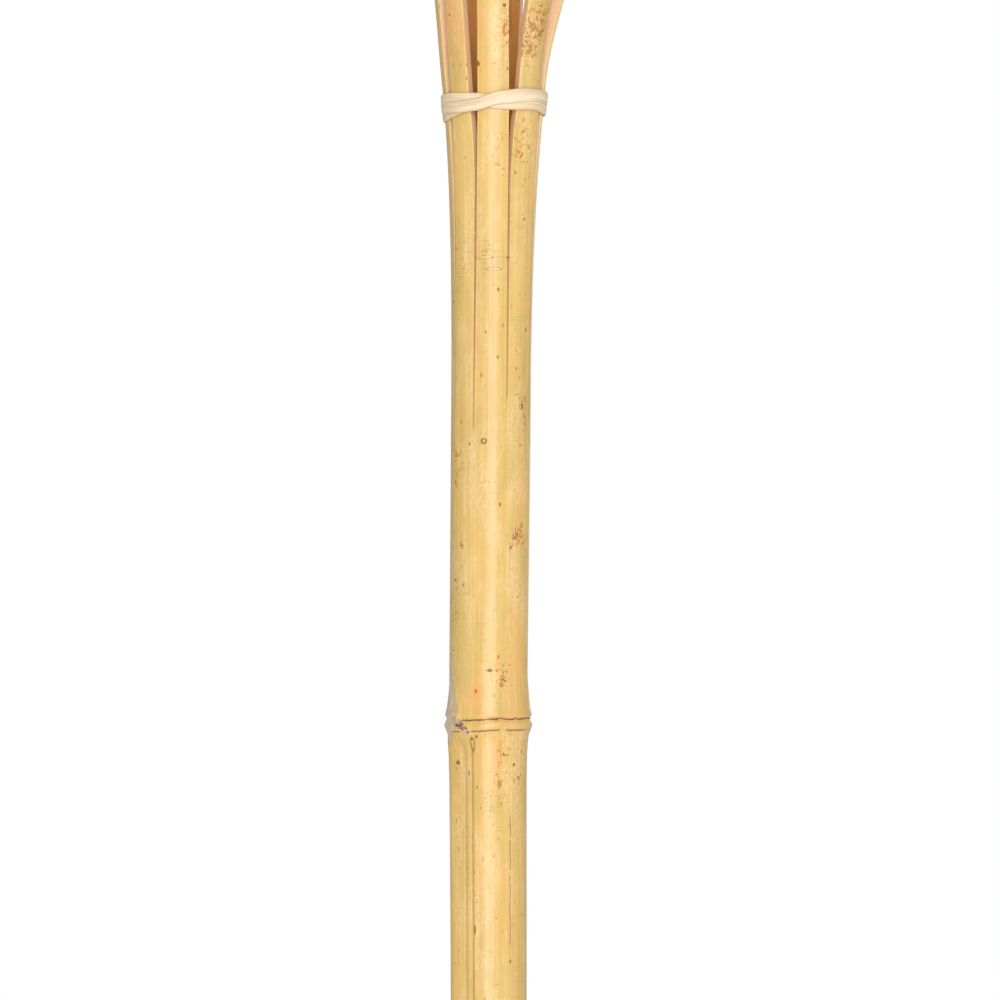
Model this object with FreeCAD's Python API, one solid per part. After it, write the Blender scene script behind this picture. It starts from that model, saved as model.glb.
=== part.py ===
"""Bamboo garden torch: a hollow pole whose top is slit into nine staves that flare into a basket.

Bands of reed bind the staves, and an oil canister with a screw-on burner and a snuffer stands inside.
Units are millimetres. +Z is up, the tip of the foot is at Z = 0 and the middle of the head is on the Z axis.
The front of the torch faces -Y. Writes one STEP file per sub-part into parts/.
"""

import FreeCAD, Part
import math
import os

Vector = FreeCAD.Vector

# ---- driving dimensions: the bamboo pole ----
HEAD_TOP = 1500.0            # height of the stave tips
SLIT_END = 1180.0            # height where the slits end and the whole pole begins
TIE_Z = 1290.0               # middle of the reed tie at the root of the flare
POLE_NODES = (231.0, 511.0, 796.0, 1086.0)
HEAD_NODE = 1371.0           # the node that the slits run through
POLE_RADIUS = 13.2           # outside radius at the slit end
FOOT_RADIUS = 9.5            # outside radius of the straight foot
FOOT_STRAIGHT_TOP = 213.0    # the foot keeps its radius up to here
WALL = 3.4                   # thickness of the bamboo wall
SEPTUM = 3.5                 # thickness of the wall across the pole at each node
CHAMBER_EASE = 2.0           # chamfer at both ends of each hollow between two nodes
FOOT_CUT_HEIGHT = 34.0       # height of the slanting cut at the foot
CENTRELINE = (               # how the pole wanders: height, sideways offset
    (0.0, 0.0), (231.0, 0.0), (511.0, 0.8), (796.0, -1.2), (1086.0, -2.0), (1180.0, -1.1), (1290.0, 0.0),
)
NODE_PROFILE = (             # height above the node's crest, swelling of the radius
    (16.0, 0.1), (11.0, 0.5), (6.0, 1.0), (3.9, 1.5), (3.2, 1.5), (2.3, 1.1), (1.2, 1.65),
    (0.0, 1.9), (-1.6, 1.25), (-3.0, 0.75), (-5.5, 0.4), (-10.0, 0.15),
)
NODE_REACH = 18.0            # the swelling ends this far above and below the crest

# ---- driving dimensions: the sulcus, two shallow flutes side by side under a node ----
SULCUS_NODES = (511.0, 796.0, 1086.0)
SULCUS_AZIMUTH = 313.0       # degrees from -Y towards +X under the lowest of them; each next one is opposite
FLUTE_CUTTER_RADIUS = 5.0
FLUTE_DEPTH = 0.8
FLUTE_FADE = 0.5             # how much shallower a flute is at its lower end
FLUTE_SPACING = 20.0         # degrees between the two flutes
FLUTE_TOP_GAP = 8.0          # from the node's crest down to the flute
FLUTE_BOTTOM_GAP = 30.0      # from the flute down to the next node's crest

# ---- driving dimensions: the flare ----
STAVE_SPANS = (48.4, 48.0, 34.4, 34.4, 40.0, 40.0, 38.3, 38.3, 38.2)   # degrees of the pole per stave
FRONT_STAVE_AZIMUTH = -0.8   # degrees from -Y towards +X; the staves are listed from the front towards +X
CORNER_HALF_SPAN = 22.3      # half span of the staves whose inner corners limit what fits inside the flare
SLIT_WIDTH = 0.3
TIE_SPREAD = 3.3             # how far the tie holds the staves out from the pole's own radius
BEND_LENGTH = 175.0          # the staves bend over this length and are straight above it
STAVE_BOW = (0.0, 1.6, 3.7, 1.1, 0.0, 0.0, -0.5, -1.7, -1.1)   # how far each stave bows out above the tie
BOW_LOW = 1298.0             # the bow starts just above the tie
BOW_HIGH = 1388.0            # and ends just below the middle band

# ---- driving dimensions: bands and hoop ----
TIE_HEIGHT = 10.5
TIE_RAISE = 0.5              # the band's middle is this far above TIE_Z
TIE_THICKNESS = 1.4
WEAVE_HEIGHT = 16.0
WEAVE_THICKNESS = 2.6
MIDDLE_WEAVE_Z = 1398.0
RIM_WEAVE_Z = 1484.0
BAND_CLEARANCE = 0.1
BAND_CROWN = 0.25            # how much thinner a band is at its edges, as a share of its thickness
INSIDE_BAND_DROP = 1.5       # the inside bands follow the staves this much lower, to clear their corners
HOOP_WIRE_RADIUS = 2.5
HOOP_CLEARANCE = 0.25

# ---- driving dimensions: canister ----
CAN_RADIUS = 34.0
CAN_SHEET = 0.5
CHIME_RADIUS = 35.2          # the seamed edges stand proud of the wall
CHIME_HEIGHT = 3.0
CAN_HEIGHT = 76.0
CAN_CLEARANCE = 0.4          # between the lower chime and the staves
SEAM_HALF_WIDTH = 2.5        # of the folded seam up the back of the wall
SEAM_PROUD = 0.5
SEAM_SINK = 0.3
DISC_SHEET = 0.6             # thickness of the bottom and of the dome
DISC_DROP = 1.0              # the dome's flat margin lies this far below the top of its chime
DOME_HEIGHT = 6.0
DOME_MARGIN = 3.0            # width of the flat margin inside the upper chime
DOME_SHOULDER = (6.0, 3.5)   # out from the neck and up from the chime, where the dome's curve changes
DOME_THROAT = (2.0, 1.0)     # out from the neck and down from the neck's foot
FLOOR_LIP = 0.4              # from the lower chime's edge to the floor's outer margin
FLOOR_RISE = 2.5             # and to the canister's floor
FLOOR_MARGIN = (2.0, 4.0)    # the floor's slanting edge starts and ends this far in from the wall
NECK_RADIUS = 18.5
NECK_SHEET = 0.6
NECK_CLEARANCE = 0.05        # between the neck and the dome's hole
NECK_DROP = 2.4              # how far the neck reaches below the dome's top edge
NECK_FLANGE_RADIUS = 20.4
NECK_HEIGHT = 11.0

# ---- driving dimensions: screw thread ----
PITCH = 3.0
NECK_TURNS = 2.3
CAP_TURNS = 1.0
RIB_ROOT = 1.2               # width of a thread rib at its root
RIB_CREST = 0.5
RIB_SINK = 0.2
NECK_RIB_HEIGHT = 0.9
NECK_RIB_START = 1.8         # above the neck's foot

# ---- driving dimensions: burner ----
CAP_RADIUS = 21.5
CAP_BORE = 20.0
CAP_SKIRT = 10.0
CAP_PLATE = 1.0
CAP_RIB_HEIGHT = 0.95
KNURLS = 40
KNURL_RADIUS = 0.55
CAP_ROUND_OVER = 0.8
KNURL_SINK = 0.65            # share of a knurl cutter's radius that bites into the skirt
KNURL_LOW = 1.0              # plain edge below the knurls
KNURL_HIGH = 2.0             # and above them
GASKET_THICKNESS = 1.0
GASKET_WIDTH = 4.2
GASKET_CLEARANCE = 0.3       # from the cap's bore
LOCK_WASHER_RADIUS = 11.0
LOCK_WASHER_THICKNESS = 0.8
LOCK_WASHER_CLEARANCE = 0.02
TUBE_RADIUS = 7.0
TUBE_BORE = 6.4
TUBE_RISE = 12.0             # how far the wick tube stands above the cap
TUBE_DROP = 4.0              # and how far it reaches below the cap plate's top
FLANGE_RADIUS = 10.0
FLANGE_THICKNESS = 0.8
WICK_RADIUS = 6.2
WICK_SHOWS = 3.0
WICK_CLEARS_FLOOR = 4.0

# ---- driving dimensions: snuffer and its hinge ----
HINGE_Y = 20.0               # the pin runs along X, this far behind the wick
HINGE_RISE = 8.0             # and this far above the cap plate
PIN_RADIUS = 0.95
KNUCKLE_RADIUS = 2.4
KNUCKLE_HALF = 3.7
LUG_INNER = 4.0
LUG_THICKNESS = 1.2
LUG_HEAD_RADIUS = 2.2
LUG_BACK_Y = 20.6            # flat back of the lugs, just inside the cap's rounded edge
LUG_SINK = 0.2               # the lugs run this far down into the plate
PIN_HEAD_RADIUS = 1.7
PIN_HEAD = 0.8
RUNNING_GAP = 0.1
CUP_RADIUS = 12.1
CUP_SHEET = 0.6
CUP_HEIGHT = 27.0
CUP_GAP = 0.4                # between the closed cup's rim and the cap plate
CUP_SHOULDER = 3.0
SADDLE_HALF_HEIGHT = 4.0     # of the plate that joins the arm to the cup
SADDLE_HALF_WIDTH = 6.0
SADDLE_SHEET = 0.9
ARM_THICKNESS = 1.2
KNOB_RADIUS = 4.0
KNOB_NECK = 1.2              # gap between the ball and the cup's top
STEM_RADIUS = 1.2
STEM_HOLE = 1.3
PEEN_RADIUS = 2.2
PEEN_THICKNESS = 0.6


# ---- shared helpers ----
def centre_x(z):
    """Sideways offset of the pole's centreline at height z."""
    for (z0, x0), (z1, x1) in zip(CENTRELINE, CENTRELINE[1:]):
        if z <= z1:
            return x0 + (x1 - x0) * (z - z0) / (z1 - z0)
    return CENTRELINE[-1][1]


def direction(azimuth):
    """Unit vector at an azimuth in degrees, from -Y towards +X."""
    a = math.radians(azimuth)
    return Vector(math.sin(a), -math.cos(a), 0)


def ring_face(points):
    """Face in the XZ plane from (radius, height) points."""
    loop = [Vector(r, 0, z) for r, z in points]
    return Part.Face(Part.makePolygon(loop + loop[:1]))


def turned(points):
    """Solid of revolution about Z from (radius, height) points."""
    return ring_face(points).revolve(Vector(0, 0, 0), Vector(0, 0, 1), 360)


def tube(outer, inner, low, high):
    return turned([(inner, low), (outer, low), (outer, high), (inner, high)])


def rod_x(radius, x0, x1, y, z):
    """Cylinder along X."""
    return Part.makeCylinder(radius, x1 - x0, Vector(x0, y, z), Vector(1, 0, 0))


def box(x0, x1, y0, y1, z0, z1):
    return Part.makeBox(x1 - x0, y1 - y0, z1 - z0, Vector(x0, y0, z0))


def save(name, shape):
    solids = shape.Solids
    if not solids or not shape.isValid():
        raise ValueError(name + " is not a valid solid")
    whole = solids[0] if len(solids) == 1 else Part.makeCompound(solids)
    whole.exportStep("parts/" + name + ".step")
    print(f"{name:24s} solids {len(solids)}  volume {shape.Volume:10.1f} mm3")


# ---- bamboo ----
def base_radius(z):
    """Outside radius of the pole between its nodes."""
    share = (z - FOOT_STRAIGHT_TOP) / (SLIT_END - FOOT_STRAIGHT_TOP)
    return FOOT_RADIUS + (POLE_RADIUS - FOOT_RADIUS) * max(0.0, share)


def pole_stations():
    """(height, outside radius) from the foot to the slit end."""
    stations = [(0.0, FOOT_RADIUS)]
    for node in POLE_NODES:
        stations.append((node - NODE_REACH, base_radius(node - NODE_REACH)))
        for rise, swell in sorted(NODE_PROFILE):
            stations.append((node + rise, base_radius(node + rise) + swell))
        stations.append((node + NODE_REACH, base_radius(node + NODE_REACH)))
    return stations + [(SLIT_END, POLE_RADIUS)]


def circle_at(z, radius):
    return Part.Wire(Part.makeCircle(radius, Vector(centre_x(z), 0, z)))


def chamber(low, high):
    """The hollow of one internode, with chamfered ends."""
    wires = []
    for z, inset in (
        (low, CHAMBER_EASE), (low + CHAMBER_EASE, 0.0), (high - CHAMBER_EASE, 0.0), (high, CHAMBER_EASE),
    ):
        wires.append(circle_at(z, base_radius(z) - WALL - inset))
    return Part.makeLoft(wires, True, True)


def flute(node, azimuth):
    """Cutter for one flute of a sulcus that hangs from a node."""
    low = POLE_NODES[POLE_NODES.index(node) - 1] + FLUTE_BOTTOM_GAP
    high = node - FLUTE_TOP_GAP
    reach_high = base_radius(high) + FLUTE_CUTTER_RADIUS - FLUTE_DEPTH
    reach_low = base_radius(low) + FLUTE_CUTTER_RADIUS - FLUTE_DEPTH + FLUTE_FADE
    top = direction(azimuth) * reach_high + Vector(centre_x(high), 0, high)
    bottom = direction(azimuth) * reach_low + Vector(centre_x(low), 0, low)
    run = top - bottom
    return Part.makeCylinder(FLUTE_CUTTER_RADIUS, run.Length, bottom, run)


def foot_cut():
    """Everything below the slanting cut of the foot."""
    reach = FOOT_RADIUS + 1.0
    slope = FOOT_CUT_HEIGHT / (2 * FOOT_RADIUS)
    low_y, high_y = FOOT_RADIUS, -FOOT_RADIUS
    corners = [
        Vector(-reach, low_y + 1.0, -slope), Vector(-reach, high_y - 1.0, FOOT_CUT_HEIGHT + slope),
        Vector(-reach, high_y - 1.0, -10.0), Vector(-reach, low_y + 1.0, -10.0),
    ]
    return Part.Face(Part.makePolygon(corners + corners[:1])).extrude(Vector(2 * reach, 0, 0))


def bamboo_pole():
    pole = Part.makeLoft([circle_at(z, r) for z, r in pole_stations()], True, True)
    ends = (-SEPTUM,) + POLE_NODES + (SLIT_END + SEPTUM,)
    for below, above in zip(ends, ends[1:]):
        low = max(below + SEPTUM / 2, -1.0)
        high = min(above - SEPTUM / 2, SLIT_END + 1.0)
        pole = pole.cut(chamber(low, high))
    for n, node in enumerate(SULCUS_NODES):
        for side in (-0.5, 0.5):
            pole = pole.cut(flute(node, SULCUS_AZIMUTH + 180.0 * (n % 2) + side * FLUTE_SPACING))
    return pole.cut(foot_cut())


def stave_angles():
    """(middle azimuth, half span) of each stave, in degrees."""
    angles = []
    edge = FRONT_STAVE_AZIMUTH - STAVE_SPANS[0] / 2
    for span in STAVE_SPANS:
        angles.append((edge + span / 2, span / 2))
        edge += span
    return angles


def flare(z, bow=0.0):
    """Outside radius of the staves at height z."""
    rise = z - SLIT_END
    tie_rise = TIE_Z - SLIT_END
    bend = min(rise, BEND_LENGTH)
    spread = TIE_SPREAD * (bend / tie_rise) ** 3
    slope = 3 * TIE_SPREAD * BEND_LENGTH ** 2 / tie_rise ** 3
    if rise > BEND_LENGTH:
        spread += slope * (rise - BEND_LENGTH)
    if BOW_LOW < z < BOW_HIGH:
        spread += bow * math.sin(math.pi * (z - BOW_LOW) / (BOW_HIGH - BOW_LOW)) ** 2
    return POLE_RADIUS + spread


def lean(z, bow=0.0):
    """Angle between a stave and the vertical at height z, in radians."""
    if z <= SLIT_END:
        return 0.0
    step = 0.5
    return math.atan2(flare(z + step, bow) - flare(z - step, bow), 2 * step)


def stave_swell(z):
    """Swelling of the staves at the node that the slits run through."""
    profile = ((NODE_REACH, 0.0),) + NODE_PROFILE + ((-NODE_REACH, 0.0),)
    rise = z - HEAD_NODE
    for (high, swell_high), (low, swell_low) in zip(profile, profile[1:]):
        if low <= rise <= high:
            return swell_low + (swell_high - swell_low) * (rise - low) / (high - low)
    return 0.0


def stave_section(z, azimuth, half_span, bow):
    """Closed wire of a stave across its length: a sector of the pole's wall, moved out and tilted."""
    out = direction(azimuth)
    side = Vector(0, 0, 1).cross(out)
    tilt = lean(z, bow)
    across = out * math.cos(tilt) - Vector(0, 0, 1) * math.sin(tilt)
    origin = out * (flare(z, bow) - POLE_RADIUS) + Vector(centre_x(z), 0, z)
    origin = origin + (out - across) * POLE_RADIUS
    outer = POLE_RADIUS + stave_swell(z)
    inner = POLE_RADIUS - WALL

    def point(radius, share):
        half = math.radians(half_span) - SLIT_WIDTH / 2 / radius
        return origin + across * (radius * math.cos(half * share)) + side * (radius * math.sin(half * share))

    edges = [
        Part.Arc(point(outer, -1), point(outer, 0), point(outer, 1)).toShape(),
        Part.makeLine(point(outer, 1), point(inner, 1)),
        Part.Arc(point(inner, 1), point(inner, 0), point(inner, -1)).toShape(),
        Part.makeLine(point(inner, -1), point(outer, -1)),
    ]
    return Part.Wire(edges)


def stave_heights():
    """Heights of the sections that a stave is lofted through."""
    plain = [SLIT_END + rise for rise in (0, 25, 45, 62, 78, 92, 104, 118, 128, 140, 152, 163)]
    node = [HEAD_NODE + rise for rise, _ in sorted(NODE_PROFILE)]
    upper = [HEAD_NODE + NODE_REACH, 1420.0, 1460.0, HEAD_TOP]
    return plain + [HEAD_NODE - NODE_REACH] + node + upper


def stave(azimuth, half_span, bow):
    wires = [stave_section(z, azimuth, half_span, bow) for z in stave_heights()]
    return Part.makeLoft(wires, True, True)


# ---- bands and hoop ----
def stave_inner_reach(z):
    """Distance from the head's axis to the inner corners of the staves."""
    half = math.radians(CORNER_HALF_SPAN)
    bore = POLE_RADIUS - WALL
    middle = flare(z) - POLE_RADIUS
    return math.hypot(middle + bore * math.cos(half) * math.cos(lean(z)), bore * math.sin(half))


def band(z, height, thickness, reach):
    """Ring round the flare whose inside wall follows reach(height)."""
    low = z - height / 2
    high = z + height / 2
    edge = thickness * (1 - BAND_CROWN)
    return turned([
        (reach(low), low), (reach(low) + edge, low), (reach(z) + thickness, z),
        (reach(high) + edge, high), (reach(high), high), (reach(z), z),
    ])


def tie_band():
    return band(TIE_Z + TIE_RAISE, TIE_HEIGHT, TIE_THICKNESS, lambda z: flare(z) + BAND_CLEARANCE)


def weave_outside(z):
    return band(z, WEAVE_HEIGHT, WEAVE_THICKNESS, lambda h: flare(h) + BAND_CLEARANCE)


def weave_inside(z):
    gap = WEAVE_THICKNESS + 2 * BAND_CLEARANCE
    return band(z, WEAVE_HEIGHT, WEAVE_THICKNESS, lambda h: stave_inner_reach(h - INSIDE_BAND_DROP) - gap)


def can_bottom():
    """Height at which the lower chime just clears the staves."""
    step = 0.25
    z = HEAD_NODE
    while stave_inner_reach(z) < CHIME_RADIUS + CAN_CLEARANCE:
        z += step
    return z


def spreader_hoop():
    z = can_bottom() - HOOP_WIRE_RADIUS - BAND_CLEARANCE
    slant = math.cos(lean(z))
    radius = stave_inner_reach(z) - (HOOP_WIRE_RADIUS + HOOP_CLEARANCE) / slant
    return Part.makeTorus(radius, HOOP_WIRE_RADIUS, Vector(0, 0, z))


# ---- canister ----
CAN_BOTTOM = can_bottom()
CAN_TOP = CAN_BOTTOM + CAN_HEIGHT
NECK_BASE = CAN_TOP + DOME_HEIGHT
NECK_TOP = NECK_BASE + NECK_HEIGHT
PLATE_LOW = NECK_TOP + GASKET_THICKNESS
PLATE_TOP = PLATE_LOW + CAP_PLATE
HINGE_Z = PLATE_TOP + HINGE_RISE
CUP_RIM = PLATE_TOP + CUP_GAP
CUP_TOP = CUP_RIM + CUP_HEIGHT


def canister_wall():
    low = CAN_BOTTOM + CHIME_HEIGHT
    high = CAN_TOP - CHIME_HEIGHT
    wall = tube(CAN_RADIUS, CAN_RADIUS - CAN_SHEET, low, high)
    inner = CAN_RADIUS - SEAM_SINK
    seam = box(-SEAM_HALF_WIDTH, SEAM_HALF_WIDTH, inner, CAN_RADIUS + SEAM_PROUD, low, high)
    return wall.fuse(seam).removeSplitter()


def chime(low):
    """Rolled edge that stands proud of the canister's wall."""
    return tube(CHIME_RADIUS, CAN_RADIUS - CAN_SHEET, low, low + CHIME_HEIGHT)


def canister_bottom():
    """Rolled edge and a floor that is pressed up inside it."""
    bore = CAN_RADIUS - CAN_SHEET
    outer, inner = FLOOR_MARGIN
    margin_z = CAN_BOTTOM + FLOOR_LIP
    floor_z = CAN_BOTTOM + FLOOR_RISE
    slant = 0.2
    floor = turned([
        (0.0, floor_z - DISC_SHEET), (CAN_RADIUS - inner, floor_z - DISC_SHEET),
        (CAN_RADIUS - outer, margin_z), (bore, margin_z), (bore, margin_z + DISC_SHEET),
        (CAN_RADIUS - outer + slant, margin_z + DISC_SHEET), (CAN_RADIUS - inner + slant, floor_z),
        (0.0, floor_z),
    ])
    return chime(CAN_BOTTOM).fuse(floor).removeSplitter()


def rib_profile(radius, height, z, sign):
    """Thread rib's section on the +X side: its root is sunk a little into the wall that carries it."""
    root = radius - sign * RIB_SINK
    crest = radius + sign * height
    points = [
        Vector(root, 0, z - RIB_ROOT / 2), Vector(crest, 0, z - RIB_CREST / 2),
        Vector(crest, 0, z + RIB_CREST / 2), Vector(root, 0, z + RIB_ROOT / 2),
    ]
    return Part.makePolygon(points + points[:1])


def thread_rib(radius, height, low, turns, sign):
    helix = Part.makeHelix(PITCH, PITCH * turns, radius)
    helix.translate(Vector(0, 0, low))
    return Part.Wire(helix.Edges).makePipeShell([rib_profile(radius, height, low, sign)], True, True)


def canister_top():
    """Rolled edge and a domed disc with a hole for the neck."""
    hole = NECK_RADIUS + NECK_CLEARANCE
    margin_z = CAN_TOP - DISC_DROP
    out, up = DOME_SHOULDER
    throat_out, throat_down = DOME_THROAT
    inset = 0.4
    dome = turned([
        (CAN_RADIUS - CAN_SHEET, margin_z - DISC_SHEET), (CAN_RADIUS - CAN_SHEET, margin_z),
        (CAN_RADIUS - DOME_MARGIN, margin_z), (NECK_RADIUS + out, CAN_TOP + up),
        (NECK_RADIUS + throat_out, NECK_BASE - throat_down), (hole, NECK_BASE),
        (hole, NECK_BASE - DISC_SHEET),
        (NECK_RADIUS + throat_out - inset, NECK_BASE - throat_down - DISC_SHEET),
        (NECK_RADIUS + out - inset, CAN_TOP + up - DISC_SHEET),
        (CAN_RADIUS - DOME_MARGIN - inset, margin_z - DISC_SHEET),
    ])
    return chime(CAN_TOP - CHIME_HEIGHT).fuse(dome).removeSplitter()


def canister_neck():
    """Threaded neck with a flange that sits under the dome."""
    bore = NECK_RADIUS - NECK_SHEET
    low = NECK_BASE - NECK_DROP
    neck = turned([
        (bore, low), (NECK_FLANGE_RADIUS, low), (NECK_FLANGE_RADIUS, low + NECK_SHEET),
        (NECK_RADIUS, low + NECK_SHEET), (NECK_RADIUS, NECK_TOP), (bore, NECK_TOP),
    ])
    return neck.fuse(thread_rib(NECK_RADIUS, NECK_RIB_HEIGHT, NECK_BASE + NECK_RIB_START, NECK_TURNS, 1))


# ---- burner ----
def cap_gasket():
    outer = CAP_BORE - GASKET_CLEARANCE
    return tube(outer, outer - GASKET_WIDTH, NECK_TOP, PLATE_LOW)


def hinge_lugs():
    """The two ears that stand on the cap and carry the snuffer's pin."""
    lugs = []
    for near in (-LUG_INNER - LUG_THICKNESS, LUG_INNER):
        far = near + LUG_THICKNESS
        blade = box(near, far, HINGE_Y - LUG_HEAD_RADIUS, LUG_BACK_Y, PLATE_TOP - LUG_SINK, HINGE_Z)
        ear = blade.fuse(rod_x(LUG_HEAD_RADIUS, near, far, HINGE_Y, HINGE_Z))
        lugs.append(ear.cut(rod_x(PIN_RADIUS, near - 1, far + 1, HINGE_Y, HINGE_Z)))
    return lugs


def burner_cap():
    """Screw cap with a knurled skirt, a rib of thread inside it and the hinge lugs on top."""
    low = PLATE_TOP - CAP_SKIRT
    cap = turned([
        (CAP_BORE, low), (CAP_RADIUS, low), (CAP_RADIUS, PLATE_TOP - CAP_ROUND_OVER),
        (CAP_RADIUS - CAP_ROUND_OVER, PLATE_TOP), (TUBE_RADIUS + RUNNING_GAP, PLATE_TOP),
        (TUBE_RADIUS + RUNNING_GAP, PLATE_LOW), (CAP_BORE, PLATE_LOW),
    ])
    knurl_reach = CAP_RADIUS + KNURL_RADIUS * (1 - KNURL_SINK)
    for n in range(KNURLS):
        at = direction(360.0 * (n + 0.5) / KNURLS) * knurl_reach + Vector(0, 0, low + KNURL_LOW)
        cap = cap.cut(Part.makeCylinder(KNURL_RADIUS, CAP_SKIRT - KNURL_LOW - KNURL_HIGH, at))
    # The cap's rib runs midway between two turns of the neck's rib, so the two are in mesh.
    rib_low = NECK_BASE + NECK_RIB_START + 1.5 * PITCH
    cap = cap.fuse(thread_rib(CAP_BORE, CAP_RIB_HEIGHT, rib_low, CAP_TURNS, -1))
    for lug in hinge_lugs():
        cap = cap.fuse(lug)
    return cap


def wick_tube():
    return turned([
        (TUBE_BORE, PLATE_TOP - TUBE_DROP), (TUBE_RADIUS, PLATE_TOP - TUBE_DROP), (TUBE_RADIUS, PLATE_TOP),
        (FLANGE_RADIUS, PLATE_TOP), (FLANGE_RADIUS, PLATE_TOP + FLANGE_THICKNESS),
        (TUBE_RADIUS, PLATE_TOP + FLANGE_THICKNESS), (TUBE_RADIUS, PLATE_TOP + TUBE_RISE),
        (TUBE_BORE, PLATE_TOP + TUBE_RISE),
    ])


def tube_lock_washer():
    high = PLATE_LOW - RUNNING_GAP
    return tube(LOCK_WASHER_RADIUS, TUBE_RADIUS + LOCK_WASHER_CLEARANCE, high - LOCK_WASHER_THICKNESS, high)


def wick():
    low = CAN_BOTTOM + FLOOR_RISE + WICK_CLEARS_FLOOR
    return Part.makeCylinder(WICK_RADIUS, PLATE_TOP + TUBE_RISE + WICK_SHOWS - low, Vector(0, 0, low))


def hinge_pin():
    """Pin with a peened head at each end, just outside the lugs."""
    reach = LUG_INNER + LUG_THICKNESS + RUNNING_GAP
    pin = rod_x(PIN_RADIUS, -reach - PIN_HEAD, reach + PIN_HEAD, HINGE_Y, HINGE_Z)
    for x in (-reach - PIN_HEAD, reach):
        pin = pin.fuse(rod_x(PIN_HEAD_RADIUS, x, x + PIN_HEAD, HINGE_Y, HINGE_Z))
    return pin.removeSplitter()


# ---- snuffer ----
def snuffer_cup():
    """Upside-down cup with a rounded shoulder and a hole in its top for the knob's stem."""
    bore = CUP_RADIUS - CUP_SHEET
    shoulder = CUP_SHOULDER
    crown = shoulder * (1 - math.sqrt(0.5))
    return turned([
        (bore, CUP_RIM), (CUP_RADIUS, CUP_RIM), (CUP_RADIUS, CUP_TOP - shoulder),
        (CUP_RADIUS - crown, CUP_TOP - crown), (CUP_RADIUS - shoulder, CUP_TOP),
        (STEM_HOLE, CUP_TOP), (STEM_HOLE, CUP_TOP - CUP_SHEET), (CUP_RADIUS - shoulder, CUP_TOP - CUP_SHEET),
        (bore - crown + 0.2, CUP_TOP - CUP_SHEET - crown + 0.2), (bore, CUP_TOP - shoulder),
    ])


def snuffer_arm():
    """Knuckle round the pin, a flat arm, and a saddle that is spot-welded to the cup."""
    low = HINGE_Z - SADDLE_HALF_HEIGHT
    high = HINGE_Z + SADDLE_HALF_HEIGHT
    ring = tube(CUP_RADIUS + SADDLE_SHEET, CUP_RADIUS, low, high)
    saddle = ring.common(box(-SADDLE_HALF_WIDTH, SADDLE_HALF_WIDTH, 0.0, HINGE_Y, low, high))
    arm = box(
        -KNUCKLE_HALF, KNUCKLE_HALF, CUP_RADIUS + SADDLE_SHEET / 2, HINGE_Y,
        HINGE_Z - ARM_THICKNESS / 2, HINGE_Z + ARM_THICKNESS / 2,
    )
    knuckle = rod_x(KNUCKLE_RADIUS, -KNUCKLE_HALF, KNUCKLE_HALF, HINGE_Y, HINGE_Z)
    bore = rod_x(PIN_RADIUS + RUNNING_GAP, -KNUCKLE_HALF - 1, KNUCKLE_HALF + 1, HINGE_Y, HINGE_Z)
    return saddle.fuse(arm).fuse(knuckle).cut(bore)


def snuffer_knob():
    """Turned knob with a stem through the cup's top, peened over inside."""
    ball = Part.makeSphere(KNOB_RADIUS, Vector(0, 0, CUP_TOP + KNOB_NECK + KNOB_RADIUS))
    foot = turned([
        (0, CUP_TOP), (0.8 * KNOB_RADIUS, CUP_TOP), (0.55 * KNOB_RADIUS, CUP_TOP + KNOB_NECK),
        (0.5 * KNOB_RADIUS, CUP_TOP + 2.5 * KNOB_NECK), (0, CUP_TOP + 2.5 * KNOB_NECK),
    ])
    peen_z = CUP_TOP - CUP_SHEET - RUNNING_GAP - PEEN_THICKNESS
    peen = Part.makeCylinder(PEEN_RADIUS, PEEN_THICKNESS, Vector(0, 0, peen_z))
    stem = Part.makeCylinder(STEM_RADIUS, CUP_TOP + KNOB_NECK - peen_z, Vector(0, 0, peen_z))
    return ball.fuse(foot).fuse(stem).fuse(peen)


def main():
    os.makedirs("parts", exist_ok=True)
    save("bamboo_pole", bamboo_pole())
    for n, ((azimuth, half_span), bow) in enumerate(zip(stave_angles(), STAVE_BOW), 1):
        save(f"stave_{n}", stave(azimuth, half_span, bow))
    save("tie_band", tie_band())
    for name, z in (("middle", MIDDLE_WEAVE_Z), ("rim", RIM_WEAVE_Z)):
        save(name + "_weave_outside", weave_outside(z))
        save(name + "_weave_inside", weave_inside(z))
    save("spreader_hoop", spreader_hoop())
    for make in (
        canister_wall, canister_bottom, canister_top, canister_neck, cap_gasket, burner_cap, wick_tube,
        tube_lock_washer, wick, hinge_pin, snuffer_cup, snuffer_arm, snuffer_knob,
    ):
        save(make.__name__, make())


main()
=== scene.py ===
"""Looks of the bamboo garden torch: its culm, staves, reed bindings, canister, burner and snuffer.

Lengths are in millimetres until a mesh is made, which is in metres. Azimuths run from -Y towards +X.
"""
import math

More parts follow.
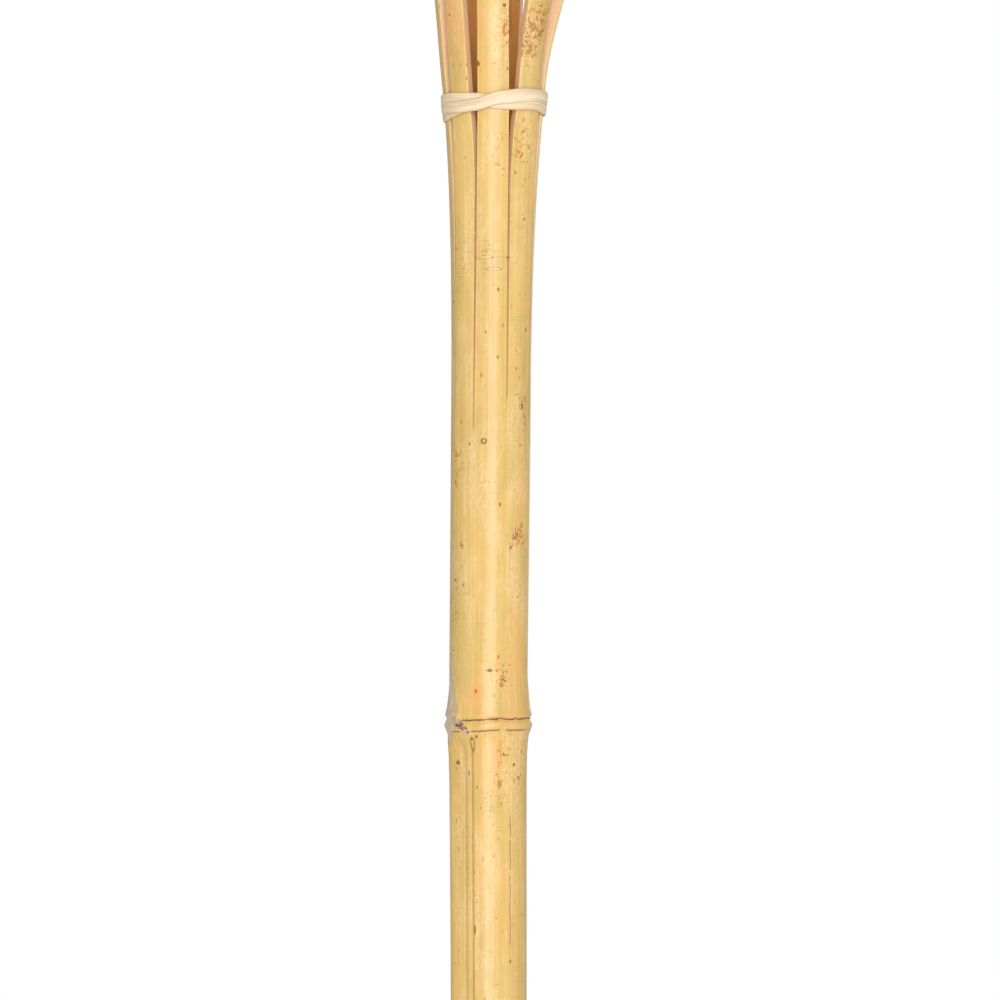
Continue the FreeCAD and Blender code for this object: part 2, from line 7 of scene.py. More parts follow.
import bmesh
import bpy
import numpy as np
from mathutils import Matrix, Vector

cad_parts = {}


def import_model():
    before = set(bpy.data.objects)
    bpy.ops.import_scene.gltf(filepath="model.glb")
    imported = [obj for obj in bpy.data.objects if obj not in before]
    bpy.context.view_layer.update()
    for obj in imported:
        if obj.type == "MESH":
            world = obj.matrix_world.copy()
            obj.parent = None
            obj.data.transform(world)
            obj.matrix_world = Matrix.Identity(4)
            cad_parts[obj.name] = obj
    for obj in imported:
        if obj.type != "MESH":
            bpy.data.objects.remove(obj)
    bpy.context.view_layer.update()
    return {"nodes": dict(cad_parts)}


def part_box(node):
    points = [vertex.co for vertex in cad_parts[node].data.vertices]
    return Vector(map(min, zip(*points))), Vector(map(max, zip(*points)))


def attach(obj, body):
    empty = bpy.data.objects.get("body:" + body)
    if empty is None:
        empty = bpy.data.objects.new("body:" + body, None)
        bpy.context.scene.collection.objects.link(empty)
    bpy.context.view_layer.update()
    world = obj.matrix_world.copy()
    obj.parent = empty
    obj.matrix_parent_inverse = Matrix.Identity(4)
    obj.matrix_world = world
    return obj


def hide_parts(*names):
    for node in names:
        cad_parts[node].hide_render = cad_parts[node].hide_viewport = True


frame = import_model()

MM = 0.001

# ---- the culm, as in the CAD ----
HEAD_TOP = 1500.0
SLIT_END = 1180.0
TIE_Z = 1290.0
HEAD_NODE = 1371.0
NODES = (231.0, 511.0, 796.0, 1086.0, HEAD_NODE)
POLE_RADIUS = 13.2
FOOT_RADIUS = 9.5
FOOT_STRAIGHT_TOP = 213.0
FOOT_CUT_HEIGHT = 34.0
WALL = 3.4
SEPTUM = 3.5
CENTRELINE = ((0, 0), (231, 0), (511, 0.8), (796, -1.2), (1086, -2.0), (1180, -1.1), (1290, 0))
NODE_PROFILE = (
    (-18, 0), (-10, 0.15), (-5.5, 0.4), (-3, 0.75), (-1.6, 1.25), (0, 1.9), (1.2, 1.6), (2.2, 1.05),
    (2.7, 1.15), (3.3, 1.6), (4.2, 1.5), (6, 1.05), (11, 0.5), (16, 0.1), (18, 0),
)
STAVE_SPANS = (48.4, 48.0, 34.4, 34.4, 40.0, 40.0, 38.3, 38.3, 38.2)
STAVES = len(STAVE_SPANS)
FRONT_STAVE_AZIMUTH = -0.8
CORNER_HALF_SPAN = 22.3
TIE_SPREAD = 3.3
BEND_LENGTH = 175.0
STAVE_BOW = (0.0, 1.6, 3.7, 1.1, 0.0, 0.0, -0.5, -1.7, -1.1)
BOW_LOW, BOW_HIGH = 1298.0, 1388.0
LATE_EDGES = {1: -1, 8: 1}   # the front stave's neighbours hold to it until just below the tie
LATE_POWER = 8.0

# ---- details of the culm's surface ----
COLUMNS = 240                # vertices round the pole
SULCI = ((511.0, 313.0), (796.0, 133.0), (1086.0, 313.0), (HEAD_NODE, 133.0))   # node, azimuth below it
SLIT_ENDS = (1194.0, 1187.0, 1191.0, 1184.0, 1196.0, 1186.0, 1188.0, 1190.0, 1183.5)    # after each stave
# depth of the two flutes under a node, by degrees from their middle
FLUTES = (
    (-30, 0), (-24, 0.35), (-12, 1.35), (2, 2.25), (5, 2.35), (8, 1.75), (12, 1.6), (16, 1.9), (19, 2.00),
    (22, 1.1), (25, 0.25), (28, 0),
)
# painted shade in the creases of the flutes, as a share by degrees from their middle
FLUTE_CREASE_SHADE = ((1, 0), (5, 0.7), (8, 0.2), (18, 0.1), (20.5, 1.0), (22.5, 0.9), (26, 0))
SLIT_GAP = 0.34
SCAR_AZIMUTH = -82.0         # the branch that was cut off and sanded, at the upper node
BUD_AZIMUTH = -40.0          # the torn bud beside it, which slants down to the right
BUD_SLANT = -4.3             # degrees per millimetre
# clusters of specks: azimuth, height, reach round, reach along, strength
SPECK_CLUSTERS = (
    (40, 1313, 4.5, 8, 1.3), (50, 1318, 4, 8, 1.2), (33, 1306, 3, 6, 0.5), (58, 1283, 2.5, 12, 0.5),
    (33, 1280, 3, 7, 1), (50, 1262, 4, 11, 0.55), (56, 1236, 3, 8, 0.5), (38, 1147, 4, 4.5, 1.2),
    (-43, 1147, 1.5, 3.5, 1.3), (55, 1150, 3, 4, 1), (-58, 1170, 3, 9, 0.7), (20, 1102, 2.5, 4, 0.8),
    (12, 1063, 4, 8, 0.8), (54, 1011, 3, 12, 0.5), (-58, 1049, 3, 14, 0.9), (-4, 1308, 2.5, 4, 0.6),
    (18, 1314, 3, 6, 0.9), (-30, 1302, 3, 2.5, 1.1), (5, 1279, 6, 8, 0.4), (28, 1101, 5, 18, 0.5),
    (38, 1272, 4, 5, 0.5), (10, 1276, 2, 4, 0.4), (58, 1190, 3, 12, 0.5), (-50, 1190, 4, 30, 0.35),
    (-20, 1128, 8, 10, 0.35), (40, 1180, 6, 20, 0.35), (8, 1030, 7, 20, 0.3), (60, 1080, 3, 12, 0.5),
    (12, 1303, 2.5, 3, 0.5), (-55, 1293, 3, 4, 0.6), (45, 1218, 4, 12, 0.5), (42, 1195, 2.5, 4, 0.7),
    (-48, 1236, 5, 10, 0.6), (-60, 1120, 2.5, 30, 0.6), (-10, 1243, 7, 3, 0.7), (58, 1046, 2.5, 12, 0.5),
    (-60, 1015, 2.5, 16, 0.4), (48, 1068, 3, 6, 0.8), (22, 1075, 3, 6, 0.9),
)
# brown contour lines: the same five values
SQUIGGLES = (
    (14, 1062, 3.5, 5, 0.9), (15, 1313, 4, 5, 0.8), (45, 1314, 8, 9, 0.7), (0, 1109, 7, 6, 0.4),
    (-12, 1274, 5, 6, 0.3), (38, 1281, 5, 6, 0.5), (18, 1102, 3, 4, 0.8), (-8, 1088, 4, 6, 0.3),
    (52, 1250, 4, 10, 0.5), (10, 1268, 3, 4, 0.6),
)
# orange blushes: the same five values
BLUSHES = (
    (-48, 1316, 5.5, 9.5, 1.5), (-20, 1097, 4.5, 3.6, 1.2), (14, 1076, 3, 8, 0.8), (15, 1031, 6, 18, 0.4),
    (-30, 1215, 4, 12, 0.25), (45, 1101, 4, 14, 0.3), (-16, 1315, 2.5, 14, 0.5), (20, 1090, 12, 3, 0.5),
)
# single marks: azimuth, height, half width, half height, line width (0 is a filled mark)
MARKS = (
    (-9.4, 1179.6, 0.85, 0.8, 0.35), (15.5, 1321.2, 0.75, 0.6, 0), (-23, 1302.6, 0.8, 0.9, 0),
    (-22.5, 1080.4, 0.8, 2.2, 0.22), (-20.5, 1019.6, 0.35, 1.8, 0), (-15.5, 1083, 0.4, 0.6, 0),
    (-33.5, 1070.8, 0.25, 1, 0), (41.5, 1073.6, 0.55, 0.6, 0), (-58, 1074, 0.9, 0.8, 0),
    (-51, 1318.9, 0.35, 0.5, 0), (2, 1104.6, 1.1, 0.6, 0), (-11, 1239.6, 2.8, 0.7, 0.26),
    (2, 1235.8, 2.6, 0.6, 0.26), (9, 1237.9, 5.6, 0.5, 0.26), (23, 1239.6, 0.7, 0.4, 0),
    (-5, 1241.8, 2, 0.4, 0.26),
)
# fine cracks along the grain: azimuth, lowest height, highest height, width, darkness
CRACKS = (
    (34.5, 1012, 1059, 0.24, 0.85), (-22.5, 989, 1010, 0.12, 0.8), (12, 1204, 1231, 0.07, 0.25),
    (-62, 1224, 1261, 0.09, 0.3), (150, 820, 905, 0.16, 0.5), (-160, 560, 650, 0.16, 0.5),
)

# the tables above describe this stretch of the front, so random clusters are fainter there
TABLED_SIDE = 95
TABLED_LOW, TABLED_HIGH = 985, 1335
TABLED_SHARE = 0.15


# ---- numbers and curves ----
def smooth(low, high, x):
    """0 below low, 1 above high, and a smooth step between."""
    t = np.clip((np.asarray(x, float) - low) / (high - low), 0, 1)
    return t * t * (3 - 2 * t)


def hump(x):
    """1 at 0, falling smoothly to 0 at -1 and 1."""
    return np.cos(np.clip(x, -1, 1) * math.pi / 2) ** 2


def turn_gap(azimuth, at):
    """Signed degrees from `at` to `azimuth`, from -180 to 180."""
    return (np.asarray(azimuth, float) - at + 180.0) % 360.0 - 180.0


def base_radius(z):
    """Outside radius of the culm between its nodes."""
    share = (np.asarray(z, float) - FOOT_STRAIGHT_TOP) / (SLIT_END - FOOT_STRAIGHT_TOP)
    return FOOT_RADIUS + (POLE_RADIUS - FOOT_RADIUS) * np.clip(share, 0, 1)


def centre_x(z):
    """How far the pole has wandered sideways at a height."""
    return np.interp(z, *zip(*CENTRELINE))


def node_rise(azimuth, z):
    """Height above the nearest node's crest, which wavers a little round the culm."""
    a = np.radians(azimuth)
    wavers = 0.35 * np.sin(a + 0.4) + 0.18 * np.sin(3 * a + 1.0) + 0.10 * np.sin(7 * a)
    z = np.asarray(z, float)
    nearest = np.array(NODES)[np.abs(z[..., None] - np.array(NODES)).argmin(-1)]
    return z - nearest - wavers * hump((z - nearest) / 30.0)


def sulcus(azimuth, z, profile=FLUTES):
    """Depth of the double flute that hangs from a node; with the crease profile, the share of painted shade
    in its creases.
    """
    depth = np.zeros(np.broadcast(azimuth, z).shape)
    for node, at in SULCI:
        end = NODES[NODES.index(node) - 1] + 14.0
        side = turn_gap(azimuth, at)
        along = smooth(node - 2.0, node - 9.0, z) * smooth(end, end + 60.0, z)
        fade = 0.55 + 0.45 * smooth(end, node, z)
        depth += along * fade * np.interp(side, *zip(*profile))
    return depth


def scar(azimuth, z):
    """1 on the sanded branch scar beside the upper node, 0 elsewhere."""
    node = NODES[3]
    reach = 36.0 * np.where(z > node, hump((z - node - 2.0) / 24.0), hump((z - node - 2.0) / 11.0))
    tail = 5.0 * smooth(node - 4.0, node - 9.0, z) * smooth(node - 110.0, node - 60.0, z)
    return smooth(2.0, -2.0, np.abs(turn_gap(azimuth, SCAR_AZIMUTH)) - np.maximum(reach, tail - 2.0))


def bud(azimuth, z):
    """1 in the middle of the torn bud, 0 away from it."""
    rise = z - NODES[3] - 1.0
    return hump((turn_gap(azimuth, BUD_AZIMUTH) - BUD_SLANT * rise) / 14.0) * hump(rise / 5.5)


def surface_radius(azimuth, z):
    """Outside radius of the culm at rest, before it is slit and spread."""
    rise = node_rise(azimuth, z)
    a = np.radians(azimuth)
    swell = np.interp(rise, *zip(*NODE_PROFILE))
    ripple = 0.05 * np.sin(z / 23.0 + 2.0 * np.sin(a)) + 0.035 * np.sin(5 * a + z / 60.0)
    torn = bud(azimuth, z) * (0.5 + 0.4 * np.sin(azimuth * 0.9) * np.sin(z * 3.1))
    return base_radius(z) + swell + ripple + torn - sulcus(azimuth, z) - 0.35 * scar(azimuth, z)


def clusters(table, azimuth, z):
    """Sum of soft blobs, each given as azimuth, height, reach round, reach along, strength."""
    total = np.zeros(np.broadcast(azimuth, z).shape)
    for at, height, wide, tall, strength in table:
        across = np.radians(turn_gap(azimuth, at)) * base_radius(z)
        total += strength * np.exp(-(across / wide) ** 2 - ((z - height) / tall) ** 2)
    return total


def random_clusters(seed, count, strength):
    """Blobs like the tables above, on the stretches that the tables leave plain."""
    draw = np.random.default_rng(seed)
    rows = []
    for _ in range(count):
        at = draw.uniform(-180, 180)
        height = draw.uniform(0, HEAD_TOP)
        size = draw.uniform(2.0, 7.0)
        level = draw.uniform(0.3, 1.0) * strength
        if abs(at) < TABLED_SIDE and TABLED_LOW < height < TABLED_HIGH:
            level *= TABLED_SHARE
        rows.append((at, height, size, size * draw.uniform(1.0, 4.0), level))
    return rows


ALL_SPECKS = SPECK_CLUSTERS + tuple(random_clusters(11, 90, 0.8))
ALL_SQUIGGLES = SQUIGGLES + tuple(random_clusters(12, 40, 0.7))
ALL_BLUSHES = BLUSHES + tuple(random_clusters(13, 28, 0.7))


def culm_attributes(azimuth, z):
    """Everything that the culm's materials read, for flat arrays of azimuth and height."""
    a = np.radians(azimuth)
    radius = base_radius(z)
    return {
        "grain": np.stack([np.sin(a) * radius, -np.cos(a) * radius, z], -1) * MM,
        "rise": node_rise(azimuth, z),
        "specks": clusters(ALL_SPECKS, azimuth, z),
        "squiggles": clusters(ALL_SQUIGGLES, azimuth, z),
        "blush": clusters(ALL_BLUSHES, azimuth, z),
        "bare": scar(azimuth, z),
        "bud": bud(azimuth, z),
        # share of painted shade in the creases of the flutes
        "crease_shade": sulcus(azimuth, z, FLUTE_CREASE_SHADE),
    }


# ---- meshes ----
WELD = 1e-6                  # metres; points closer than this are one point


def piece(name, points, faces, materials, slots=None, attributes=None, sharp=40.0):
    """Closed mesh from points in millimetres, with outward faces; edges over `sharp` degrees stay sharp."""
    mesh = bpy.data.meshes.new(name)
    mesh.from_pydata((np.asarray(points, float) * MM).tolist(), [], faces)
    for material in materials:
        mesh.materials.append(material)
    if slots is not None:
        mesh.polygons.foreach_set("material_index", np.asarray(slots, np.int32))
    for key, values in (attributes or {}).items():
        values = np.asarray(values, np.float32)
        kind = "FLOAT" if values.ndim == 1 else "FLOAT_VECTOR"
        layer = mesh.attributes.new(key, kind, "POINT")
        layer.data.foreach_set("value" if values.ndim == 1 else "vector", values.ravel())
    work = bmesh.new()
    work.from_mesh(mesh)
    bmesh.ops.remove_doubles(work, verts=work.verts, dist=WELD)
    bmesh.ops.recalc_face_normals(work, faces=work.faces)
    work.to_mesh(mesh)
    work.free()
    mesh.shade_smooth()
    mesh.set_sharp_from_angle(angle=math.radians(sharp))
    obj = bpy.data.objects.new(name, mesh)
    bpy.context.scene.collection.objects.link(obj)
    return obj


def grid_faces(rows, columns, start=0, wrap=True):
    """Quads of a grid of points laid out row by row; wrap joins the last column to the first."""
    row = np.arange(rows - 1)[:, None] * columns + start
    this = np.arange(columns if wrap else columns - 1)[None, :]
    beside = (this + 1) % columns
    corners = (row + this, row + beside, row + columns + beside, row + columns + this)
    return np.stack(corners, -1).reshape(-1, 4).tolist()


def place(body, slot, obj, *nodes):
    """Attaches a piece that stands for CAD nodes to its body and hides those nodes."""
    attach(obj, body)
    if nodes:
        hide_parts(*nodes)
    return obj


def rounded(corners, radius, steps=4, closed=True):
    """Polyline of (radius, height) corners with each corner turned into a small arc."""
    corners = [np.array(c[:2], float) for c in corners]
    out = []
    count = len(corners)
    for i, corner in enumerate(corners):
        if not closed and i in (0, count - 1):
            out.append(corner)
            continue
        before, after = corners[i - 1], corners[(i + 1) % count]
        reach = min(radius, 0.45 * np.linalg.norm(before - corner), 0.45 * np.linalg.norm(after - corner))
        start = corner + (before - corner) / np.linalg.norm(before - corner) * reach
        end = corner + (after - corner) / np.linalg.norm(after - corner) * reach
        for t in np.linspace(0, 1, steps + 1):
            out.append((1 - t) ** 2 * start + 2 * t * (1 - t) * corner + t ** 2 * end)
    return np.array(out)


def lathe(name, profile, materials, segments=96, shape=None, sharp=40.0, slots=None):
    """Ring-shaped solid from a closed (radius, height) profile; shape(azimuth, r, z) may move the radius."""
    azimuth = np.arange(segments) * 360.0 / segments
    r, z = np.array(profile, float).T
    a, rr = np.meshgrid(azimuth, r)
    zz = np.repeat(z[:, None], segments, 1)
    if shape:
        rr = shape(a, rr, zz)
    points = np.stack([np.sin(np.radians(a)) * rr, -np.cos(np.radians(a)) * rr, zz], -1).reshape(-1, 3)
    rows = len(r)
    faces = grid_faces(rows, segments)
    last = (rows - 1) * segments
    faces += [(last + j, last + (j + 1) % segments, (j + 1) % segments, j) for j in range(segments)]
    return piece(name, points, faces, materials, slots=slots, sharp=sharp)


# ---- shader helpers ----
class Shader:
    """A material's node tree, built by short calls."""

    def __init__(self, name):
        self.material = bpy.data.materials.new(name)
        self.material.use_nodes = True
        self.tree = self.material.node_tree
        self.surface = self.tree.nodes["Principled BSDF"]

    def node(self, kind, **settings):
        made = self.tree.nodes.new("ShaderNode" + kind)
        for key, value in settings.items():
            setattr(made, key, value)
        return made

    def feed(self, socket, value):
        if isinstance(value, bpy.types.NodeSocket):
            self.tree.links.new(value, socket)
        elif hasattr(socket.default_value, "__len__") and hasattr(value, "__len__"):
            full = list(value) + [1.0] * (len(socket.default_value) - len(value))
            socket.default_value = full
        else:
            socket.default_value = value

    def set(self, **sockets):
        """Sets or links the surface's sockets; an underscore in a name stands for a space."""
        for key, value in sockets.items():
            self.feed(self.surface.inputs[key.replace("_", " ")], value)

    def attribute(self, name, output="Fac"):
        made = self.node("Attribute", attribute_name=name)
        return made.outputs[output]

    def math(self, operation, a, b=0.0, c=0.0, clamp=False):
        made = self.node("Math", operation=operation, use_clamp=clamp)
        for socket, value in zip(made.inputs, (a, b, c)):
            self.feed(socket, value)
        return made.outputs[0]

    def times(self, a, b, clamp=False):
        return self.math("MULTIPLY", a, b, clamp=clamp)

    def line(self, value, slope, start):
        return self.math("MULTIPLY_ADD", value, slope, start)

    def plus(self, a, b):
        return self.math("ADD", a, b)

    def minus(self, a, b, clamp=False):
        return self.math("SUBTRACT", a, b, clamp=clamp)

    def larger(self, a, b):
        return self.math("MAXIMUM", a, b)

    def stretch(self, vector, scale):
        made = self.node("VectorMath", operation="MULTIPLY")
        self.feed(made.inputs[0], vector)
        self.feed(made.inputs[1], scale)
        return made.outputs[0]

    def dot(self, vector, direction):
        made = self.node("VectorMath", operation="DOT_PRODUCT")
        self.feed(made.inputs[0], vector)
        self.feed(made.inputs[1], direction)
        return made.outputs["Value"]

    def noise(self, vector, scale=1.0, detail=2.0, roughness=0.5, distortion=0.0):
        made = self.node("TexNoise")
        self.feed(made.inputs["Vector"], vector)
        for key, value in (
            ("Scale", scale), ("Detail", detail), ("Roughness", roughness), ("Distortion", distortion),
        ):
            self.feed(made.inputs[key], value)
        return made.outputs["Fac"]

    def drawn(self, vector, scale, *settings):
        """Noise that is drawn out along an axis: each axis has its own scale."""
        return self.noise(self.stretch(vector, scale), 1.0, *settings)

    def cells(self, vector, scale, output="Distance"):
        made = self.node("TexVoronoi")
        self.feed(made.inputs["Vector"], vector)
        self.feed(made.inputs["Scale"], scale)
        return made.outputs[output]

    def step(self, value, low, high):
        """0 at low and 1 at high, smoothly; low may be the larger."""
        made = self.node("MapRange", interpolation_type="SMOOTHSTEP")
        for socket, number in zip(made.inputs, (value, low, high, 0.0, 1.0)):
            self.feed(socket, number)
        return made.outputs[0]

    def mix(self, share, a, b, blend="MIX"):
        made = self.node("Mix", data_type="RGBA", blend_type=blend)
        self.feed(made.inputs[0], share)
        self.feed(made.inputs[6], a)
        self.feed(made.inputs[7], b)
        return made.outputs[2]

    def bump(self, height, distance, strength=1.0):
        made = self.node("Bump")
        self.feed(made.inputs["Strength"], strength)
        self.feed(made.inputs["Distance"], distance)
        self.feed(made.inputs["Height"], height)
        return made.outputs[0]


# ---- materials of the bamboo ----
STRAW = (0.745, 0.488, 0.138)
OLIVE = (0.630, 0.460, 0.128)
HONEY = (0.690, 0.385, 0.098)
CREAM = (0.900, 0.665, 0.345)
BROWN = (0.200, 0.075, 0.022)
ORANGE = (0.850, 0.370, 0.110)
RUST = (0.460, 0.165, 0.035)
FOXED = (0.540, 0.200, 0.028)
ASH = (0.560, 0.410, 0.265)
# colour of the painted highlight along the rounded skin edges of the open slits
EDGE_HIGHLIGHT = (0.860, 0.620, 0.200)
SCAR_BROWN = (0.210, 0.070, 0.022)
# colour of the painted shade in the creases of the flutes
CREASE_SHADE_COLOUR = (0.420, 0.200, 0.040)
SCRAPED = (0.740, 0.600, 0.450)
TORN_FIBRES = (0.800, 0.660, 0.480)
BUD_DARK = (0.100, 0.036, 0.014)
LOWER_LINE_SPLIT = 0.45      # the line below a node's crest is double, this far to each side
ROSY_CUT = (0.930, 0.670, 0.420)
INNER_TAN = (0.720, 0.345, 0.095)
FIBRE_SCALE = (1500.0, 1500.0, 18.0)


def mark_mask(s, grain, azimuth, height, half_width, half_height, line):
    """A spot or a ring on the culm, with an uneven edge."""
    out, side = directions(azimuth)
    across = s.dot(grain, tuple(v / (half_width * MM) for v in side))
    up = s.dot(grain, (0.0, 0.0, 1.0))
    along = s.line(up, 1 / (half_height * MM), -height / half_height)
    ragged = s.line(s.noise(grain, 1500.0, 3.0, 0.7), 1.5, -0.75)
    reach = s.plus(s.times(across, across), s.times(along, along))
    reach = s.plus(s.math("SQRT", reach), ragged)
    front = s.step(s.dot(grain, out), 0.0, 0.002)
    if line:
        reach = s.math("ABSOLUTE", s.minus(reach, 1.0))
        edge = line / half_width
        return s.times(s.step(reach, edge, edge * 0.3), front)
    return s.times(s.step(reach, 1.05, 0.80), front)


def crack_mask(s, grain, azimuth, low, high, width, darkness):
    """A fine line along the grain that wanders a little."""
    out, side = directions(azimuth)
    up = s.dot(grain, (0.0, 0.0, 1.0))
    wander = s.line(s.drawn(grain, (0, 0, 90), 3.0), 0.0016, -0.0008)
    across = s.math("ABSOLUTE", s.plus(s.dot(grain, side), wander))
    line = s.step(across, width * MM, width * 0.3 * MM)
    ends = s.times(s.step(up, low * MM, (low + 4) * MM), s.step(up, high * MM, (high - 4) * MM))
    front = s.step(s.dot(grain, out), 0.0, 0.002)
    broken = s.step(s.drawn(grain, (1, 1, 350), 2.0), 0.38, 0.5)
    mask = s.times(s.times(line, ends), s.times(front, broken))
    return s.times(mask, darkness)


def skin_ground(s, grain, streaks, mottle, tone):
    """Straw skin with olive patches, honey streaks, pale bloom, fibres and scratches."""
    patches = s.drawn(grain, (70, 70, 24), 4.0, 0.6, 1.0)
    bloom = s.drawn(grain, (95, 95, 42), 3.0, 0.55, 0.5)
    grainy = s.step(s.drawn(grain, (1300, 1300, 700), 3.0, 0.6), 0.32, 0.60)
    wrinkles = s.drawn(grain, (130, 130, 1200), 3.0, 0.6, 1.6)
    bloomy = s.times(s.step(bloom, 0.42, 0.62), grainy)
    scratched = s.times(s.step(wrinkles, 0.59, 0.68), s.step(patches, 0.44, 0.56))
    colour = s.mix(s.times(s.step(patches, 0.38, 0.64), 0.70), STRAW, OLIVE)
    colour = s.mix(s.times(s.step(streaks, 0.47, 0.68), 0.38), colour, HONEY)
    colour = s.mix(s.times(bloomy, 0.42), colour, CREAM)
    colour = s.mix(s.times(s.step(mottle, 0.54, 0.70), 0.30), colour, CREAM)
    colour = s.mix(1.0, colour, s.mix(tone, (0.86, 0.83, 0.75), (1.09, 1.08, 1.08)), "MULTIPLY")
    colour = s.mix(s.times(scratched, 0.32), colour, RUST)
    # painted highlight: the skin is lightened along the rounded edges of the open slits
    colour = s.mix(s.times(s.attribute("edge"), 0.55), colour, EDGE_HIGHLIGHT)
    return s.mix(s.times(s.attribute("slit"), 0.75), colour, SCAR_BROWN)


def skin_specks(s, grain, colour, streaks):
    """Adds the clustered specks and the scattered pin spots; also returns where they are."""
    blots = s.drawn(grain, (640, 640, 440), 3.0, 0.62, 1.2)
    level = s.line(s.math("MINIMUM", s.attribute("specks"), 1.2), -0.175, 0.712)
    spots = s.times(s.step(blots, level, s.plus(level, 0.035)), 0.92)
    spot_colour = s.mix(s.step(s.noise(grain, 330.0, 1.0), 0.50, 0.66), FOXED, BROWN)
    colour = s.mix(spots, colour, spot_colour)
    cells = s.cells(s.stretch(grain, (1.0, 1.0, 0.6)), 210.0)
    pins = s.times(s.step(cells, 0.110, 0.060), s.step(s.noise(grain, 130.0, 1.0), 0.42, 0.54))
    pin_colour = s.mix(s.step(streaks, 0.4, 0.6), FOXED, BROWN)
    return s.mix(s.times(pins, 0.85), colour, pin_colour), spots, pins


def skin_squiggles(s, grain, mottle):
    """Where the skin has fine contour lines."""
    squiggles = s.attribute("squiggles")
    contour = s.drawn(grain, (230, 230, 520), 1.5)
    contour = s.math("ABSOLUTE", s.minus(contour, 0.52))
    lines = s.times(s.step(contour, 0.018, 0.006), s.step(squiggles, 0.25, 0.60))
    broken = s.plus(mottle, s.times(squiggles, 0.10))
    return s.times(lines, s.step(broken, 0.46, 0.56))


def node_lines(s, grain, bare):
    """Where the brown lines of a node run: a ragged upper one and a dashed, partly double lower one."""
    rise = s.attribute("rise")
    ragged = s.line(s.drawn(grain, (750, 750, 1), 3.0), 1.3, -0.65)
    upper_gap = s.math("ABSOLUTE", s.minus(s.plus(rise, ragged), 2.35))
    upper_half = s.times(s.drawn(grain, (400, 400, 1), 2.0), 0.66)
    upper = s.step(upper_gap, upper_half, s.times(upper_half, 0.45))
    dashes = s.step(s.drawn(grain, (170, 170, 60), 1.0), 0.42, 0.50)
    split = s.step(s.drawn(grain, (75, 75, 30), 0.0), 0.52, 0.54)
    lower_gap = s.plus(s.line(ragged, 0.5, rise), 1.35)
    lower_gap = s.minus(s.math("ABSOLUTE", lower_gap), s.times(split, LOWER_LINE_SPLIT))
    lower = s.times(s.step(s.math("ABSOLUTE", lower_gap), 0.34, 0.12), dashes)
    lines = s.larger(s.times(upper, 0.92), s.times(lower, 0.80))
    return s.times(lines, s.minus(1.0, bare, clamp=True))


def skin_material():
    """Glossy straw-yellow skin of the culm, with fibres, specks, stains and node scars."""
    s = Shader("bamboo_skin")
    grain = s.attribute("grain", "Vector")
    fibres = s.drawn(grain, FIBRE_SCALE, 3.0, 0.6)
    threads = s.drawn(grain, (3800, 3800, 60), 2.0, 0.6)
    streaks = s.drawn(grain, (260, 260, 7), 3.0, 0.55)
    mottle = s.drawn(grain, (420, 420, 150), 4.0, 0.6, 0.4)
    tone = s.times(s.step(fibres, 0.28, 0.72), 0.62)
    tone = s.plus(tone, s.times(threads, 0.38))
    colour = skin_ground(s, grain, streaks, mottle, tone)

    # painted shade: the creases of the flutes under the nodes are darkened, broken up by the fibres
    crease_shade = s.times(s.attribute("crease_shade"), s.line(fibres, 0.5, 0.2))
    colour = s.mix(crease_shade, colour, CREASE_SHADE_COLOUR)
    blush = s.times(s.attribute("blush"), s.step(mottle, 0.38, 0.56), clamp=True)
    blush = s.math("MINIMUM", s.times(blush, 0.70), 0.75)
    colour = s.mix(blush, colour, ORANGE)
    colour, spots, pins = skin_specks(s, grain, colour, streaks)
    squiggle = skin_squiggles(s, grain, mottle)
    colour = s.mix(s.times(squiggle, 0.80), colour, RUST)
    stain = s.larger(spots, s.larger(pins, squiggle))
    for mark in MARKS:
        mask = mark_mask(s, grain, *mark)
        colour = s.mix(s.times(mask, 0.92), colour, BROWN)
        stain = s.larger(stain, mask)
    for crack in CRACKS:
        colour = s.mix(crack_mask(s, grain, *crack), colour, BROWN)

    bare = s.attribute("bare")
    scraped = s.mix(s.step(mottle, 0.35, 0.65), ASH, SCRAPED)
    colour = s.mix(s.times(bare, 0.88), colour, scraped)
    lines = node_lines(s, grain, bare)
    colour = s.mix(lines, colour, SCAR_BROWN)
    torn = s.drawn(grain, (650, 650, 550), 3.0, 0.7, 1.4)
    bud_share = s.attribute("bud")
    colour = s.mix(s.step(bud_share, 0.15, 0.5), colour, s.mix(torn, HONEY, TORN_FIBRES))
    bud_dark = s.step(s.times(s.step(bud_share, 0.0, 0.5), torn), 0.50, 0.54)
    colour = s.mix(s.times(bud_dark, 0.95), colour, BUD_DARK)

    stain = s.larger(stain, s.larger(lines, s.larger(bud_dark, bare)))
    height = s.plus(s.times(fibres, 0.6), s.times(threads, 0.4))
    height = s.minus(height, s.times(s.larger(lines, bud_dark), 2.5))
    rough = s.plus(s.line(mottle, 0.22, 0.28), s.times(stain, 0.3))
    s.set(Base_Color=colour, Roughness=rough, Normal=s.bump(height, 0.00012, 0.6))
    s.set(Specular_IOR_Level=0.42, Coat_Weight=0.58, Coat_Roughness=0.24)
    return s.material


def cut_material():
    """The pale rosy wood of the sawn and split faces."""
    s = Shader("bamboo_cut")
    grain = s.attribute("grain", "Vector")
    fibres = s.drawn(grain, (2600, 2600, 24), 4.0, 0.65)
    bands = s.drawn(grain, (520, 520, 9), 2.0)
    colour = s.mix(s.step(fibres, 0.30, 0.72), (0.840, 0.540, 0.300), ROSY_CUT)
    colour = s.mix(s.times(s.step(bands, 0.45, 0.70), 0.5), colour, (0.950, 0.760, 0.530))
    s.set(Base_Color=colour, Roughness=0.72, Normal=s.bump(fibres, 0.0003, 0.5))
    return s.material


